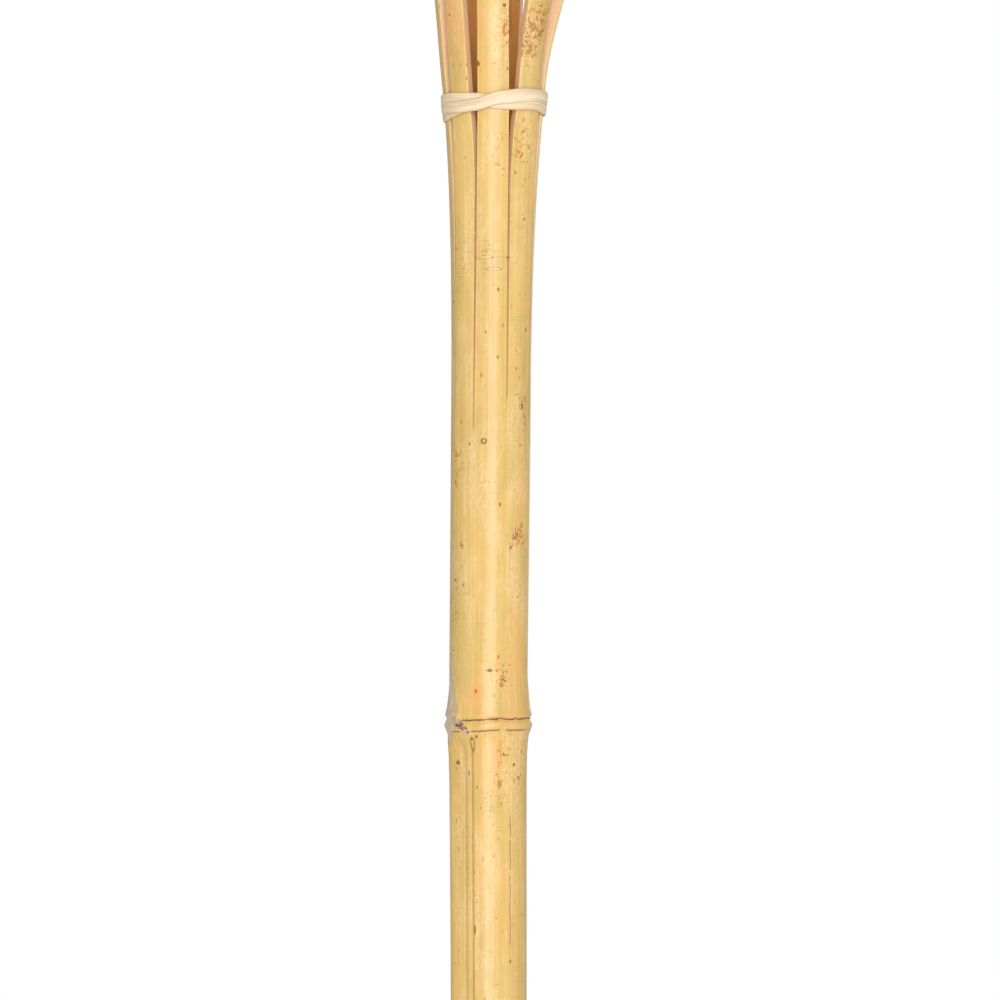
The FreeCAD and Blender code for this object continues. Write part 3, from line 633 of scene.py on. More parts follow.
def inner_material():
    """The tan, papery wall inside the culm."""
    s = Shader("bamboo_inner")
    grain = s.attribute("grain", "Vector")
    fibres = s.drawn(grain, (1300, 1300, 30), 4.0, 0.6)
    stains = s.drawn(grain, (150, 150, 40), 3.0)
    colour = s.mix(fibres, INNER_TAN, (0.840, 0.470, 0.150))
    colour = s.mix(s.times(s.step(stains, 0.50, 0.75), 0.5), colour, (0.440, 0.200, 0.055))
    s.set(Base_Color=colour, Roughness=0.8, Normal=s.bump(fibres, 0.0003, 0.6))
    return s.material


# ---- the culm below the slits ----
FOOT_ROWS_TOP = 60.0         # up to here the rows slant with the foot's cut
FOOT_STEPS = 14


def culm_rows():
    """Heights of the rows above the foot: close together at the nodes, closest where most is seen."""
    rows = [FOOT_ROWS_TOP]
    while rows[-1] < SLIT_END - 0.5:
        z = rows[-1]
        near = min(abs(z + 1.0 - node) for node in NODES)
        seen = z > 990.0
        gap = (0.55 if seen else 0.9) if near < 20.0 else (2.2 if seen else 5.0)
        rows.append(z + gap)
    rows[-1] = SLIT_END
    return np.array(rows)


def directions(azimuth):
    """Unit vectors outward and sideways at an azimuth."""
    a = math.radians(azimuth)
    return (math.sin(a), -math.cos(a), 0.0), (math.cos(a), math.sin(a), 0.0)


def ring_points(azimuth, radius, z):
    """Points of one ring of the pole."""
    a = np.radians(azimuth)
    return np.stack([np.sin(a) * radius + centre_x(z), -np.cos(a) * radius, z], -1)


def cut_height(azimuth, radius):
    """Height of the foot's slanting cut at an azimuth and radius."""
    return FOOT_CUT_HEIGHT / 2 * (1 + np.cos(np.radians(azimuth)) * radius / FOOT_RADIUS)


def bamboo_pole(skin, cut, inner):
    azimuth = np.arange(COLUMNS) * 360.0 / COLUMNS
    low = cut_height(azimuth, FOOT_RADIUS)
    zs = [low + (FOOT_ROWS_TOP - low) * t for t in np.linspace(0, 1, FOOT_STEPS, endpoint=False)]
    zs += [np.full(COLUMNS, z) for z in culm_rows()]
    rs = [surface_radius(azimuth, z) for z in zs]
    outer_rows = len(zs)
    chamber_top, septum_top = NODES[0] - SEPTUM / 2, NODES[3] + SEPTUM / 2
    upper = (
        (SLIT_END, 0.0), (SLIT_END - 12.0, 0.0), (septum_top + 12.0, 0.0), (septum_top + 4.0, 0.4),
        (septum_top + 1.0, 2.0), (septum_top, 4.5),
    )
    for z, inset in upper:
        zs.append(np.full(COLUMNS, z))
        rs.append(np.full(COLUMNS, base_radius(z) - WALL - inset))
    points = [ring_points(azimuth, r, z) for r, z in zip(rs, zs)]
    faces = grid_faces(len(zs), COLUMNS)
    slots = [0] * ((outer_rows - 1) * COLUMNS) + [1] * COLUMNS + [2] * ((len(upper) - 1) * COLUMNS)
    centre_rows = len(zs) * COLUMNS
    points.append(np.array([[centre_x(septum_top), 0.0, septum_top]]))
    last = (len(zs) - 1) * COLUMNS
    faces += [(last + j, last + (j + 1) % COLUMNS, centre_rows) for j in range(COLUMNS)]
    slots += [2] * COLUMNS
    bore = FOOT_RADIUS - WALL
    start = centre_rows + 1
    lower = [cut_height(azimuth, bore)]
    lower += [np.full(COLUMNS, z) for z in (FOOT_ROWS_TOP, chamber_top - 6.0, chamber_top)]
    for z, r in zip(lower, (bore, bore, bore, bore - 2.5)):
        points.append(ring_points(azimuth, np.full(COLUMNS, r), z))
    faces += grid_faces(len(lower), COLUMNS, start)
    slots += [2] * ((len(lower) - 1) * COLUMNS)
    faces += [(j, (j + 1) % COLUMNS, start + (j + 1) % COLUMNS, start + j) for j in range(COLUMNS)]
    slots += [1] * COLUMNS
    cap = start + len(lower) * COLUMNS
    points.append(np.array([[0.0, 0.0, chamber_top]]))
    top_ring = cap - COLUMNS
    faces += [(top_ring + j, top_ring + (j + 1) % COLUMNS, cap) for j in range(COLUMNS)]
    slots += [2] * COLUMNS
    points = np.concatenate(points)
    flat_azimuth = np.concatenate([np.tile(azimuth, len(zs)), [0.0], np.tile(azimuth, len(lower)), [0.0]])
    flat_z = np.concatenate([np.concatenate(zs), [septum_top], np.concatenate(lower), [chamber_top]])
    obj = piece("culm", points, faces, (skin, cut, inner), slots, culm_attributes(flat_azimuth, flat_z))
    return place("torch", "bamboo", obj, "bamboo_pole")


# ---- the staves ----
def flare(z, bow, late=False):
    """Outside radius of a stave's middle, as in the CAD, or that of an edge that spreads late."""
    rise = np.maximum(np.asarray(z, float) - SLIT_END, 0.0)
    root = TIE_Z - SLIT_END
    spread = TIE_SPREAD * (np.minimum(rise, BEND_LENGTH) / root) ** 3
    spread = spread + 3 * TIE_SPREAD * BEND_LENGTH ** 2 / root ** 3 * np.maximum(rise - BEND_LENGTH, 0.0)
    if late:
        spread = np.where(rise < root, TIE_SPREAD * (rise / root) ** LATE_POWER, spread)
    share = np.clip((np.asarray(z, float) - BOW_LOW) / (BOW_HIGH - BOW_LOW), 0.0, 1.0)
    return POLE_RADIUS + spread + bow * np.sin(math.pi * share) ** 2


def stave_angles():
    """(middle azimuth, half span) of each stave, in degrees."""
    angles = []
    edge = FRONT_STAVE_AZIMUTH - STAVE_SPANS[0] / 2
    for span in STAVE_SPANS:
        angles.append((edge + span / 2, span / 2))
        edge += span
    return angles


def stave_rows():
    """Heights of a stave's rows, close together at its node."""
    rows = [SLIT_END]
    while rows[-1] < HEAD_TOP:
        near = abs(rows[-1] - HEAD_NODE)
        rows.append(rows[-1] + (1.0 if near < 20.0 else 2.4))
    rows[-1] = HEAD_TOP
    return np.array(rows)


ARC_STEPS = 30
SIDE_STEPS = 5
INNER_STEPS = 9
EDGE_ROUND = 0.32
OPEN_LOW = 1250.0            # below this the slits are closed to fine lines


def slit_half(z, end):
    """Half the width of a slit that starts as a hairline at its end."""
    return SLIT_GAP / 2 * smooth(end, end + 50.0, z)


def stave_section(half_span):
    """Offsets in degrees and depths, 0 on the skin and 1 on the inner wall, round a stave's section."""
    arc = np.sin(np.linspace(-1, 1, ARC_STEPS) * math.pi / 2) * half_span
    side = np.full(SIDE_STEPS, half_span)
    inner_arc = np.linspace(1, -1, INNER_STEPS) * half_span
    depth = np.linspace(0, 1, SIDE_STEPS + 2)[1:-1]
    depths = [np.zeros(ARC_STEPS), depth, np.ones(INNER_STEPS), depth[::-1]]
    return np.concatenate([arc, side, inner_arc, -side]), np.concatenate(depths)


def stave_slots(row_count):
    """Material slots of a stave's faces: skin, cut sides, inner wall, cut sides, and the two ends."""
    sides = [1] * (SIDE_STEPS + 1)
    loop = [0] * (ARC_STEPS - 1) + sides + [2] * (INNER_STEPS - 1) + sides
    return loop * (row_count - 1) + [1, 1]


def stave(number, skin, cut, inner):
    """One split stave: a sector of the culm's wall, carried out and tilted row by row."""
    middle, half_span = stave_angles()[number]
    bow = STAVE_BOW[number]
    rows = stave_rows()
    right_end, left_end = SLIT_ENDS[number], SLIT_ENDS[number - 1]
    out, side = (np.array(v) for v in directions(middle))
    up = np.array([0.0, 0.0, 1.0])
    offsets, depths = stave_section(half_span)
    columns = len(offsets)
    late = (1 + LATE_EDGES[number] * offsets / half_span) / 2 if number in LATE_EDGES else 0 * offsets
    on_right, on_skin = offsets >= 0, depths == 0
    azimuth = middle + offsets
    points, edges, lines = [], [], []
    for z in rows:
        outer = surface_radius(azimuth, np.full(columns, z)) - base_radius(z) + POLE_RADIUS
        radius = outer + (POLE_RADIUS - WALL - outer) * depths
        gap = np.where(on_right, slit_half(z, right_end), slit_half(z, left_end))
        from_edge = (half_span - np.abs(offsets)) * math.radians(1) * radius
        opening = smooth(OPEN_LOW, TIE_Z, z)
        closed = np.where(on_right, z > right_end, z > left_end) * (1 - opening)
        curl = np.clip(1 - from_edge / EDGE_ROUND, 0, 1)
        # where the painted highlight goes: the skin close to an open slit's edge
        edges.append(on_skin * opening * smooth(0.75, 0.35, from_edge))
        lines.append(on_skin * closed * smooth(0.22, 0.06, from_edge))
        radius = radius - on_skin * opening * EDGE_ROUND * (1 - np.sqrt(1 - curl ** 2))
        angle = np.radians(offsets) - np.sign(offsets) * gap / radius * (np.abs(offsets) / half_span) ** 4
        spread = float(flare(z, bow))
        spread = spread + late * (float(flare(z, bow, True)) - spread)
        tilt = math.atan2(float(flare(z + 2.0, bow) - flare(z - 2.0, bow)), 4.0)
        across = out * math.cos(tilt) - up * math.sin(tilt)
        origin = np.outer(spread - POLE_RADIUS, out) + np.array([float(centre_x(z)), 0.0, z])
        origin = origin + (out - across) * POLE_RADIUS
        sector = np.outer(radius * np.cos(angle), across) + np.outer(radius * np.sin(angle), side)
        points.append(origin + sector)
    top = (len(rows) - 1) * columns
    faces = grid_faces(len(rows), columns)
    faces += [tuple(range(columns)), tuple(range(top, top + columns))]
    attributes = culm_attributes(np.tile(azimuth, len(rows)), np.repeat(rows, columns))
    attributes["edge"] = np.concatenate(edges)
    attributes["slit"] = np.concatenate(lines)
    points, slots = np.concatenate(points), stave_slots(len(rows))
    obj = piece(f"stave_{number + 1}_split", points, faces, (skin, cut, inner), slots, attributes)
    return place("torch", "bamboo", obj, f"stave_{number + 1}")


# ---- the reed tie ----
REED_WIDTH = 4.2
REED_THICKNESS = 0.65
REED_CLEARANCE = 0.08        # from the staves
REED_PLY_GAP = 0.05          # between two turns that lie on each other
TIE_DROP = 1.5               # the tie hangs this much lower at the front, and higher at the back
# the strip's path: degrees along it from its first end at the back, height, how far it rides on other turns
REED_PATH = (
    (-176, 1290.4, 0), (-150, 1290, 0.1), (-110, 1289.4, 0.3), (-80, 1289.5, 0.35), (-45, 1289.8, 0.8),
    (-16, 1290.7, 0.95), (0, 1292.7, 0.95), (30, 1293.8, 0.75), (55, 1293.8, 0.55), (80, 1292.7, 0.45),
    (100, 1292.1, 0.45), (135, 1292.3, 0.6), (180, 1292.8, 0.85), (225, 1292.4, 0.5), (265, 1291.5, 0.2),
    (315, 1292.5, 0.05), (345, 1292.5, 0), (358, 1291.6, 0), (380, 1291, 0), (415, 1290.7, 0.05),
    (435, 1289.5, 0.2), (460, 1288.8, 0.35), (500, 1288.3, 0.7), (540, 1287.9, 0.85), (585, 1287.3, 0.4),
    (618, 1286.6, 0.1), (640, 1286.9, 0), (675, 1288.9, 0), (692, 1290.2, 0),
)


def stave_at(azimuth):
    """(middle azimuth, half span) of the stave nearest an azimuth, for arrays."""
    middles = np.array([m for m, _ in stave_angles()])
    halves = np.array([h for _, h in stave_angles()])
    nearest = np.abs(turn_gap(np.asarray(azimuth)[..., None], middles)).argmin(-1)
    return middles[nearest], halves[nearest]


def hull_radius(azimuth, z):
    """Distance from the axis to a string pulled tight round the staves."""
    middle, half = stave_at(azimuth)
    off = np.radians(np.abs(turn_gap(azimuth, middle)))
    half = np.radians(half)
    shift = flare(z, 0.0) - POLE_RADIUS
    edge = np.arctan2(POLE_RADIUS * np.sin(half), shift + POLE_RADIUS * np.cos(half))
    reach = np.hypot(POLE_RADIUS * np.sin(half), shift + POLE_RADIUS * np.cos(half))
    on_stave = shift * np.cos(off) + np.sqrt(POLE_RADIUS ** 2 - (shift * np.sin(off)) ** 2)
    bridging = reach * np.cos(half - edge) / np.cos(np.clip(half - off, -0.5, 0.5))
    return np.where(off < edge, on_stave, bridging)


def strip_section(width, thickness):
    """Closed loop of (across, out) points round a flat strip with a slightly domed face."""
    half = width / 2
    across = np.linspace(-1, 1, 9)
    dome = thickness * (1 - 0.22 * across ** 2)
    top = np.stack([across * (half - 0.12), dome], -1)
    bottom = np.stack([across[::-1] * (half - 0.12), np.zeros(9)], -1)
    right = np.array([[half, thickness * 0.50], [half, thickness * 0.25]])
    left = np.array([[-half, thickness * 0.25], [-half, thickness * 0.50]])
    return np.concatenate([top, right, bottom, left])


def swept(name, centres, outs, ups, section, materials, widths=None):
    """Closed mesh of a (across, out) section carried along a line of points with their own directions."""
    centres, outs, ups = (np.asarray(v, float) for v in (centres, outs, ups))
    widths = np.ones(len(centres)) if widths is None else np.asarray(widths)
    across = section[:, 0][None, :] * widths[:, None]
    points = centres[:, None] + across[..., None] * ups[:, None]
    points = points + section[:, 1][None, :, None] * outs[:, None]
    columns = len(section)
    last = (len(centres) - 1) * columns
    faces = grid_faces(len(centres), columns)
    faces += [tuple(range(columns)), tuple(range(last, last + columns))]
    run = np.concatenate([[0], np.cumsum(np.linalg.norm(np.diff(centres, axis=0), axis=1))])
    strand = np.stack([
        np.repeat(run, columns), np.tile(section[:, 0], len(centres)), np.tile(section[:, 1], len(centres)),
    ], -1)
    return piece(name, points.reshape(-1, 3), faces, materials, attributes={"grain": strand * MM})


def reed_tie(reed):
    turn = np.arange(REED_PATH[0][0], REED_PATH[-1][0], 1.5)
    stations, heights, rides = zip(*REED_PATH)
    z = np.interp(turn, stations, heights)
    ride_over = np.interp(turn, stations, rides)
    blur = np.hanning(17) / np.hanning(17).sum()
    z = np.convolve(np.pad(z, 8, "edge"), blur, "valid") - TIE_DROP * np.cos(np.radians(turn))
    ride_over = np.convolve(np.pad(ride_over, 8, "edge"), blur, "valid")
    reach = hull_radius(turn, z) + REED_CLEARANCE + ride_over * (REED_THICKNESS + REED_PLY_GAP)
    reach = np.convolve(np.pad(reach, 2, "edge"), np.full(5, 0.2), "valid")
    a = np.radians(turn)
    flat = np.zeros(len(a))
    outs = np.stack([np.sin(a), -np.cos(a), flat], -1)
    centres = outs * reach[:, None] + np.stack([flat, flat, z], -1)
    runs = np.gradient(centres, axis=0)
    runs /= np.linalg.norm(runs, axis=1)[:, None]
    slope = 3 * TIE_SPREAD / (TIE_Z - SLIT_END)
    ups = np.cross(outs, runs)
    ups *= np.sign(ups[:, 2:3])
    ups += outs * slope
    widths = 1 + 0.07 * np.sin(turn / 37.0) + 0.04 * np.sin(turn / 11.0)
    widths *= np.interp(turn, [-176, -168, 665, 692], [0.75, 1.0, 1.0, 0.6])
    obj = swept("reed_tie", centres, outs, ups, strip_section(REED_WIDTH, REED_THICKNESS), (reed,), widths)
    return place("torch", "flat_reed", obj, "tie_band")


# ---- the woven bands and the hoop ----
WEAVE_ROWS = 7
WEAVE_PITCH = 2.2
STRAND_RADIUS = 1.12
WEAVE_OUTSIDE = 1.35         # from the staves' faces to the middle of a strand
WEAVE_SNAP = 2.6             # how sharply a strand crosses from outside to inside
MIDDLE_WEAVE_Z = 1398.0
RIM_WEAVE_Z = 1484.0


def stave_inner_reach(z):
    """Distance from the head's axis to the inner corners of the staves, as in the CAD."""
    half = math.radians(CORNER_HALF_SPAN)
    bore = POLE_RADIUS - WALL
    tilt = np.arctan(flare(z + 0.5, 0.0) - flare(z - 0.5, 0.0))
    middle = flare(z, 0.0) - POLE_RADIUS
    return np.hypot(middle + bore * np.cos(half) * np.cos(tilt), bore * np.sin(half))


def weave_phase(azimuth):
    """A number that is n at the middle of stave n and goes on growing evenly, turn after turn."""
    middles = np.array([m for m, _ in stave_angles()])
    turns = np.arange(-1, WEAVE_ROWS + 2)
    marks = (turns[:, None] * 360.0 + middles[None, :]).ravel()
    return np.interp(azimuth, marks, np.arange(len(marks)))


def weave(name, middle_z, rattan, *nodes):
    """One rattan strand that spirals up, outside one stave and inside the next.

    The number of staves is odd, so each row passes a stave on the other side than the row below it.
    """
    azimuth = np.arange(0, 360 * WEAVE_ROWS, 1.5)
    a = np.radians(azimuth)
    flat = np.zeros(len(a))
    outs = np.stack([np.sin(a), -np.cos(a), flat], -1)
    wave = np.tanh(WEAVE_SNAP * np.cos(math.pi * weave_phase(azimuth))) / math.tanh(WEAVE_SNAP)
    z = middle_z + (azimuth / 360.0 - WEAVE_ROWS / 2) * WEAVE_PITCH
    z += 0.05 * np.sin(2.3 * a) + 0.04 * np.sin(5.7 * a + middle_z)
    outer = flare(z, 0.0) + WEAVE_OUTSIDE
    inner = stave_inner_reach(z) - WEAVE_OUTSIDE
    reach = (outer + inner) / 2 + wave * (outer - inner) / 2
    centres = outs * reach[:, None] + np.stack([flat, flat, z], -1)
    runs = np.gradient(centres, axis=0)
    sideways = np.cross(np.tile([0.0, 0.0, 1.0], (len(a), 1)), runs)
    sideways /= np.linalg.norm(sideways, axis=1)[:, None]
    ups = np.tile([0.0, 0.0, 1.0], (len(a), 1))
    turn = np.arange(10) * math.pi / 5
    section = np.stack([np.sin(turn), np.cos(turn)], -1) * STRAND_RADIUS
    obj = swept(name, centres, sideways, ups, section, (rattan,))
    return place("torch", "rattan", obj, *nodes)


def hoop(rattan):
    low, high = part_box("spreader_hoop")
    wire = (high.z - low.z) / 2 / MM
    middle_z = (high.z + low.z) / 2 / MM
    middle_r = (high.x - low.x) / 2 / MM - wire
    a = np.radians(np.arange(20) * 18.0)
    profile = np.stack([middle_r + wire * np.cos(a), middle_z + wire * np.sin(a)], -1)
    obj = lathe("rattan_hoop", profile, (rattan,), segments=160, sharp=80.0)
    return place("torch", "rattan", obj, "spreader_hoop")


# ---- the canister ----
CAN_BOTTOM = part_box("canister_bottom")[0].z / MM
CAN_HEIGHT = 76.0
CAN_TOP = CAN_BOTTOM + CAN_HEIGHT
CAN_RADIUS = 34.0
CAN_BORE = 33.5
CHIME_RADIUS = 35.2
CHIME_HEIGHT = 3.0
DOME_HEIGHT = 6.0
NECK_BASE = CAN_TOP + DOME_HEIGHT
NECK_HOLE = 18.55
DISC_SHEET = 0.6
SEAM_HALF = 2.5
SEAM_PROUD = 0.5
WALL_PER_DEGREE = 0.593      # millimetres round the wall
WALL_STEPS = 140
BEAD_PROUD = 0.35
BEAD_HALF = 1.5
BEADS = (0.22, 0.30, 0.70, 0.78)    # rolled beads round the wall, as shares of its height


def canister_wall(tin):
    low, high = CAN_BOTTOM + CHIME_HEIGHT, CAN_TOP - CHIME_HEIGHT
    zs = np.arange(low, high + 0.01, (high - low) / WALL_STEPS)

    def shape(azimuth, r, z):
        from_seam = np.abs(turn_gap(azimuth, 180.0)) * WALL_PER_DEGREE
        seam = SEAM_PROUD * smooth(SEAM_HALF + 0.25, SEAM_HALF - 0.25, from_seam)
        share = (z - low) / (high - low)
        bead = sum(BEAD_PROUD * hump((share - b) * (high - low) / BEAD_HALF) for b in BEADS)
        return r + np.where(r > CAN_RADIUS - 0.1, np.maximum(seam, bead), bead * 0.9)

    profile = [(CAN_RADIUS, z) for z in zs] + [(CAN_BORE, z) for z in zs[::-1]]
    obj = lathe("canister_wall_rolled", profile, (tin,), segments=360, shape=shape)
    return place("canister", "tinplate", obj, "canister_wall")


def canister_bottom(tin):
    z = CAN_BOTTOM
    corners = [
        (0.0, z + 1.9), (CAN_RADIUS - 4.0, z + 1.9), (CAN_RADIUS - 2.0, z + 0.4), (CAN_BORE - 0.2, z + 0.4),
        (CAN_BORE + 0.3, z), (CHIME_RADIUS - 0.2, z), (CHIME_RADIUS, z + 0.6), (CHIME_RADIUS, z + 2.2),
        (CAN_RADIUS + 0.1, z + CHIME_HEIGHT), (CAN_BORE, z + CHIME_HEIGHT), (CAN_BORE, z + 1.0),
        (CAN_RADIUS - 1.8, z + 1.0), (CAN_RADIUS - 3.8, z + 2.5), (0.0, z + 2.5),
    ]
    profile = rounded(corners, 0.45, closed=False)
    obj = lathe("canister_bottom_seamed", profile, (tin,), segments=180)
    return place("canister", "tinplate", obj, "canister_bottom")


def canister_top(tin):
    z = CAN_TOP
    margin = z - 1.0
    corners = [
        (NECK_HOLE, NECK_BASE), (20.5, NECK_BASE - 1.0), (24.5, z + 3.5), (31.0, margin),
        (CAN_BORE - 0.1, margin),
        (CAN_BORE + 0.3, z), (CHIME_RADIUS - 0.2, z), (CHIME_RADIUS, z - 0.6), (CHIME_RADIUS, z - 2.2),
        (CAN_RADIUS + 0.1, z - CHIME_HEIGHT), (CAN_BORE, z - CHIME_HEIGHT), (CAN_BORE, margin - DISC_SHEET),
        (30.6, margin - DISC_SHEET), (24.1, z + 3.5 - DISC_SHEET), (20.1, NECK_BASE - 1.0 - DISC_SHEET),
        (NECK_HOLE, NECK_BASE - DISC_SHEET),
    ]
    profile = rounded(corners, 0.5)
    obj = lathe("canister_dome", profile, (tin,), segments=180)
    return place("canister", "tinplate", obj, "canister_top")


# ---- wick and snuffer ----
WICK_RADIUS = 6.2
CUP_RADIUS = 12.1
CUP_SHEET = 0.6
CUP_SHOULDER = 3.0
CUP_LIP = 0.15
STEM_HOLE = 1.3


def wick(fibre):
    """Braided wick: two families of strands that cross, and a frayed end."""
    low, high = (corner.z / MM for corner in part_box("wick"))

    def braid(azimuth, r, z):
        a = np.radians(azimuth)
        left = np.cos(8 * a + z * 1.45)
        right = np.cos(8 * a - z * 1.45)
        return r - 0.22 + 0.2 * np.maximum(left, right) * (r > WICK_RADIUS - 0.8)

    profile = [(0.0, low), (WICK_RADIUS - 0.7, low)]
    profile += [(WICK_RADIUS, z) for z in np.arange(low + 0.3, high - 0.3, 0.55)]
    profile += [(WICK_RADIUS - 0.7, high - 0.15), (2.5, high), (0.0, high - 0.3)]
    obj = lathe("wick_braided", profile, (fibre,), segments=160, shape=braid, sharp=70.0)
    return place("wick", "wick_fibre", obj, "wick")


def snuffer_cup(enamel):
    """Deep-drawn cup with a rounded shoulder and a hole for the knob's stem."""
    low, high = (corner.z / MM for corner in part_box("snuffer_cup"))
    bore = CUP_RADIUS - CUP_SHEET
    turns = np.linspace(0, math.pi / 2, 10)

    def shoulder(radius, t):
        centre = (CUP_RADIUS - CUP_SHOULDER, high - CUP_SHOULDER)
        return centre[0] + radius * math.cos(t), centre[1] + radius * math.sin(t)

    profile = [(bore, low + CUP_LIP), (bore + CUP_LIP, low)]
    profile += [(CUP_RADIUS - CUP_LIP, low), (CUP_RADIUS, low + CUP_LIP)]
    profile += [shoulder(CUP_SHOULDER, t) for t in turns]
    profile += [(STEM_HOLE, high), (STEM_HOLE, high - CUP_SHEET)]
    profile += [shoulder(CUP_SHOULDER - CUP_SHEET, t) for t in turns[::-1]]
    obj = lathe("snuffer_cup_drawn", profile, (enamel,), segments=128)
    return place("snuffer", "snuffer_metal", obj, "snuffer_cup")


def snuffer_knob(enamel):
    """Turned knob whose stem goes through the cup and is spread inside it."""
    cup_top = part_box("snuffer_cup")[1].z / MM
    ball, gap = 4.0, 1.2
    middle = cup_top + gap + ball
    profile = [
        (0.0, cup_top - 1.3), (2.2, cup_top - 1.3), (2.2, cup_top - 0.7), (1.2, cup_top - 0.7),
        (1.2, cup_top), (0.8 * ball, cup_top), (0.75 * ball, cup_top + 0.3), (0.56 * ball, cup_top + gap),
        (0.50 * ball, cup_top + 1.7),
    ]
    turns = np.linspace(-math.acos(0.50), math.pi / 2, 24)
    profile += [(ball * math.cos(t), middle + ball * math.sin(t)) for t in turns[:-1]]
    profile.append((0.0, middle + ball))
    obj = lathe("snuffer_knob_turned", profile, (enamel,), segments=72, sharp=50.0)
    return place("snuffer", "snuffer_metal", obj, "snuffer_knob")


# ---- the other materials ----
def reed_material():
    """Raw split reed: cream, with fine fibres along the strip and painted shade towards its edges."""
    s = Shader("flat_reed")
    grain = s.attribute("grain", "Vector")
    fibres = s.drawn(grain, (60, 1900, 300), 3.0, 0.6)
    bands = s.drawn(grain, (22, 520, 60), 2.0)
    stains = s.drawn(grain, (90, 240, 60), 3.0, 0.6)
    colour = s.mix(s.step(fibres, 0.30, 0.70), (0.700, 0.510, 0.300), (0.880, 0.720, 0.490))
    colour = s.mix(s.times(s.step(bands, 0.48, 0.70), 0.5), colour, (0.930, 0.810, 0.610))
    colour = s.mix(s.times(s.step(stains, 0.58, 0.72), 0.45), colour, (0.660, 0.420, 0.200))
    # painted shade: the strip darkens towards both of its long edges
    across = s.math("ABSOLUTE", s.dot(grain, (0.0, 2000.0 / REED_WIDTH, 0.0)))
    colour = s.mix(s.times(s.step(across, 0.78, 0.98), 0.55), colour, (0.560, 0.340, 0.150))
    height = s.plus(fibres, s.times(bands, 0.8))
    s.set(Base_Color=colour, Roughness=0.6, Normal=s.bump(height, 0.00028, 0.8))
    return s.material


def rattan_material():
    """Peeled rattan: tan, with fine fibres along the strand."""
    s = Shader("rattan")
    grain = s.attribute("grain", "Vector")
    fibres = s.drawn(grain, (55, 900, 900), 3.0, 0.6)
    patches = s.drawn(grain, (45, 90, 90), 2.0)
    colour = s.mix(s.step(fibres, 0.30, 0.72), (0.430, 0.240, 0.095), (0.640, 0.420, 0.200))
    colour = s.mix(s.times(s.step(patches, 0.40, 0.66), 0.6), colour, (0.520, 0.260, 0.090))
    s.set(Base_Color=colour, Roughness=0.48, Normal=s.bump(fibres, 0.00025, 0.6))
    return s.material


def metal_material(name, colour, roughness, brushed=(1.0, 1.0, 1.0), contrast=0.12):
    """Bare metal with drawn or rolled marks along the axis that is stretched least."""
    s = Shader(name)
    spot = s.node("TexCoord").outputs["Object"]
    marks = s.noise(s.stretch(spot, tuple(900.0 * b for b in brushed)), 1.0, 4.0, 0.6)
    smudges = s.noise(spot, 55.0, 3.0, 0.6)
    dark = tuple(c * (1 - contrast) for c in colour)
    tone = s.mix(marks, dark, colour)
    rough = s.line(smudges, 0.16, roughness - 0.10)
    rough = s.plus(rough, s.times(marks, 0.06))
    s.set(Base_Color=tone, Metallic=1.0, Roughness=rough, Normal=s.bump(marks, 0.00004, 0.35))
    return s.material


def gasket_material():
    """Black rubber with a fine moulded grain and some dust."""
    s = Shader("gasket_rubber")
    spot = s.node("TexCoord").outputs["Object"]
    moulded = s.noise(spot, 1800.0, 3.0, 0.6)
    dust = s.noise(spot, 260.0, 3.0, 0.6)
    colour = s.mix(s.step(dust, 0.45, 0.75), (0.026, 0.026, 0.027), (0.060, 0.057, 0.052))
    rough = s.line(dust, 0.25, 0.62)
    s.set(Base_Color=colour, Roughness=rough, Normal=s.bump(moulded, 0.00006, 0.5))
    return s.material


def wick_material():
    """White glass fibre with fine grey threads and a few stains."""
    s = Shader("wick_fibre")
    spot = s.node("TexCoord").outputs["Object"]
    threads = s.drawn(spot, (2600, 2600, 900), 3.0, 0.6)
    stains = s.noise(spot, 160.0, 2.0)
    colour = s.mix(threads, (0.560, 0.530, 0.470), (0.860, 0.840, 0.780))
    colour = s.mix(s.times(s.step(stains, 0.5, 0.7), 0.4), colour, (0.700, 0.640, 0.520))
    s.set(Base_Color=colour, Roughness=0.9, Normal=s.bump(threads, 0.0003, 0.8))
    return s.material


def enamel_material():
    """Glossy black enamel with a faint orange peel."""
    s = Shader("black_enamel")
    spot = s.node("TexCoord").outputs["Object"]
    peel = s.noise(spot, 420.0, 2.0)
    s.set(Base_Color=(0.016, 0.015, 0.014), Roughness=0.34, Normal=s.bump(peel, 0.00012, 0.25))
    s.set(Coat_Weight=0.35, Coat_Roughness=0.14)
    return s.material


def dress(material, slot, *names):
    """A material for CAD nodes that are shown as they are."""
    for name in names:
        node = frame["nodes"][name]
        node.data.materials.clear()
        node.data.materials.append(material)


# ---- stage, lights and camera ----
def floor():
    bpy.ops.mesh.primitive_circle_add(vertices=96, radius=6.0, fill_type="NGON", location=(0, 0, 0))
    obj = bpy.context.object
    obj.name = "floor"
    s = Shader("floor_white")
    s.set(Base_Color=(0.88, 0.88, 0.88), Roughness=0.9)
    obj.data.materials.append(s.material)


def world(ambient):
    """White behind the object, and a softer white as the light from all round."""
    scene_world = bpy.data.worlds.new("white_world")
    bpy.context.scene.world = scene_world
    scene_world.use_nodes = True
    tree = scene_world.node_tree
    background = tree.nodes["Background"]
    background.inputs["Color"].default_value = (1.0, 1.0, 1.0, 1.0)
    path = tree.nodes.new("ShaderNodeLightPath")
    level = tree.nodes.new("ShaderNodeMapRange")
    level.inputs["To Min"].default_value = ambient
    level.inputs["To Max"].default_value = 1.0
    tree.links.new(path.outputs["Is Camera Ray"], level.inputs["Value"])
    tree.links.new(level.outputs[0], background.inputs["Strength"])


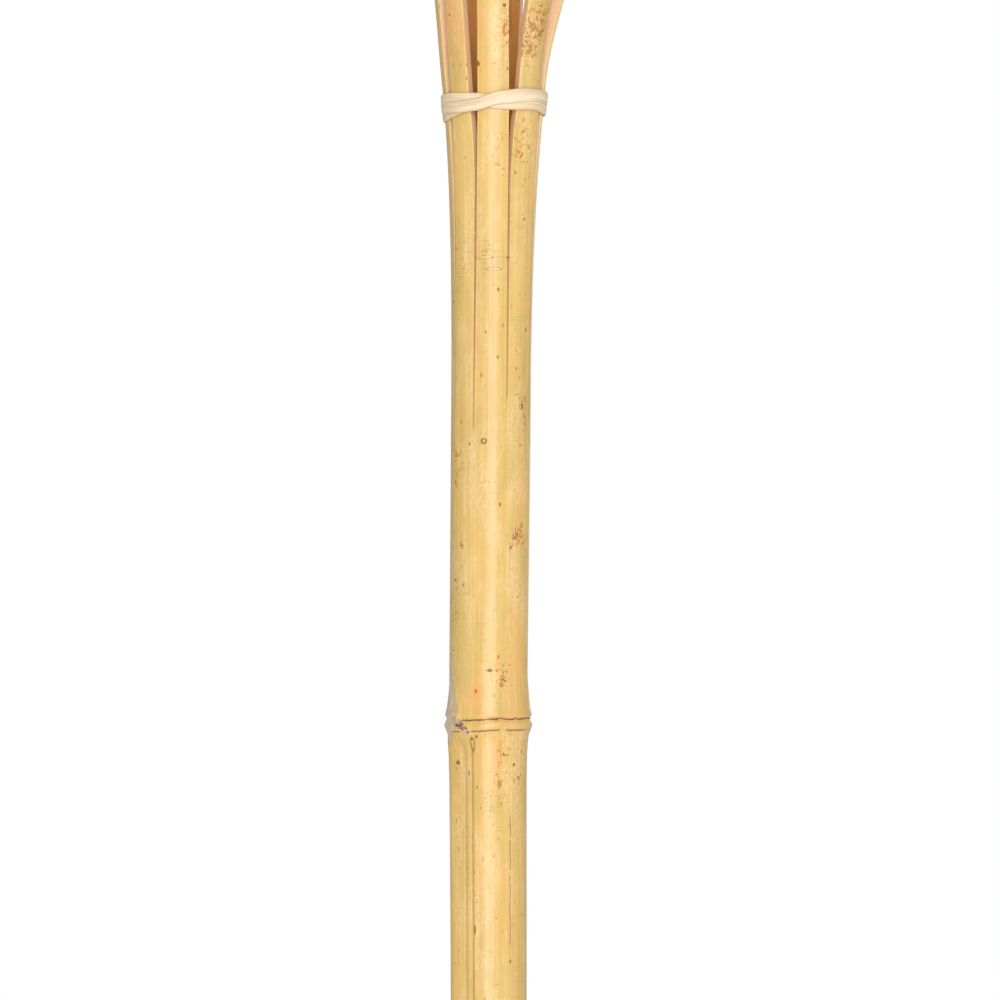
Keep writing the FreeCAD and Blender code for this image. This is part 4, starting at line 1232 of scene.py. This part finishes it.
def lamp(name, place_at, look_at, size, power):
    data = bpy.data.lights.new(name, "AREA")
    data.shape = "RECTANGLE"
    data.size, data.size_y = size
    data.energy = power
    obj = bpy.data.objects.new(name, data)
    obj.location = place_at
    obj.rotation_euler = (Vector(look_at) - Vector(place_at)).to_track_quat("-Z", "Y").to_euler()
    obj.visible_camera = False
    bpy.context.scene.collection.objects.link(obj)


def camera():
    data = bpy.data.cameras.new("camera")
    data.lens = 150.0
    data.sensor_width = 36.0
    data.dof.use_dof = False
    obj = bpy.data.objects.new("camera", data)
    obj.location = (0.002, -1.375, 1.1603)
    obj.rotation_euler = (math.radians(90), 0, 0)
    bpy.context.scene.collection.objects.link(obj)
    bpy.context.scene.camera = obj


def build():
    skin, cut, inner = skin_material(), cut_material(), inner_material()
    bamboo_pole(skin, cut, inner)
    for number in range(STAVES):
        stave(number, skin, cut, inner)
    reed_tie(reed_material())
    rattan = rattan_material()
    weave("middle_weave", MIDDLE_WEAVE_Z, rattan, "middle_weave_outside", "middle_weave_inside")
    weave("rim_weave", RIM_WEAVE_Z, rattan, "rim_weave_outside", "rim_weave_inside")
    hoop(rattan)
    tin = metal_material("tinplate", (0.72, 0.72, 0.70), 0.30, (1.0, 1.0, 0.08))
    canister_wall(tin)
    canister_bottom(tin)
    canister_top(tin)
    dress(tin, "tinplate", "canister_neck")
    dress(metal_material("burner_metal", (0.62, 0.60, 0.56), 0.34), "burner_metal",
          "burner_cap", "wick_tube", "tube_lock_washer")
    dress(metal_material("pin_steel", (0.50, 0.50, 0.50), 0.36), "pin_steel", "hinge_pin")
    dress(gasket_material(), "gasket_rubber", "cap_gasket")
    wick(wick_material())
    enamel = enamel_material()
    snuffer_cup(enamel)
    dress(enamel, "snuffer_metal", "snuffer_arm")
    snuffer_knob(enamel)


def light():
    middle = (0.0, 0.0, 1.16)
    world(0.37)
    lamp("key", (0.12, -2.3, 1.40), middle, (1.25, 2.2), 38.5)
    lamp("fill_left", (-1.9, -1.0, 1.3), middle, (1.4, 2.2), 10.0)
    lamp("fill_right", (2.0, -0.8, 1.2), middle, (2.0, 2.4), 14.0)
    lamp("back", (0.2, 2.2, 1.8), middle, (1.6, 1.6), 10.0)


build()
floor()
light()
camera()
bpy.context.scene.view_settings.view_transform = "Standard"

bpy.context.view_layer.update()
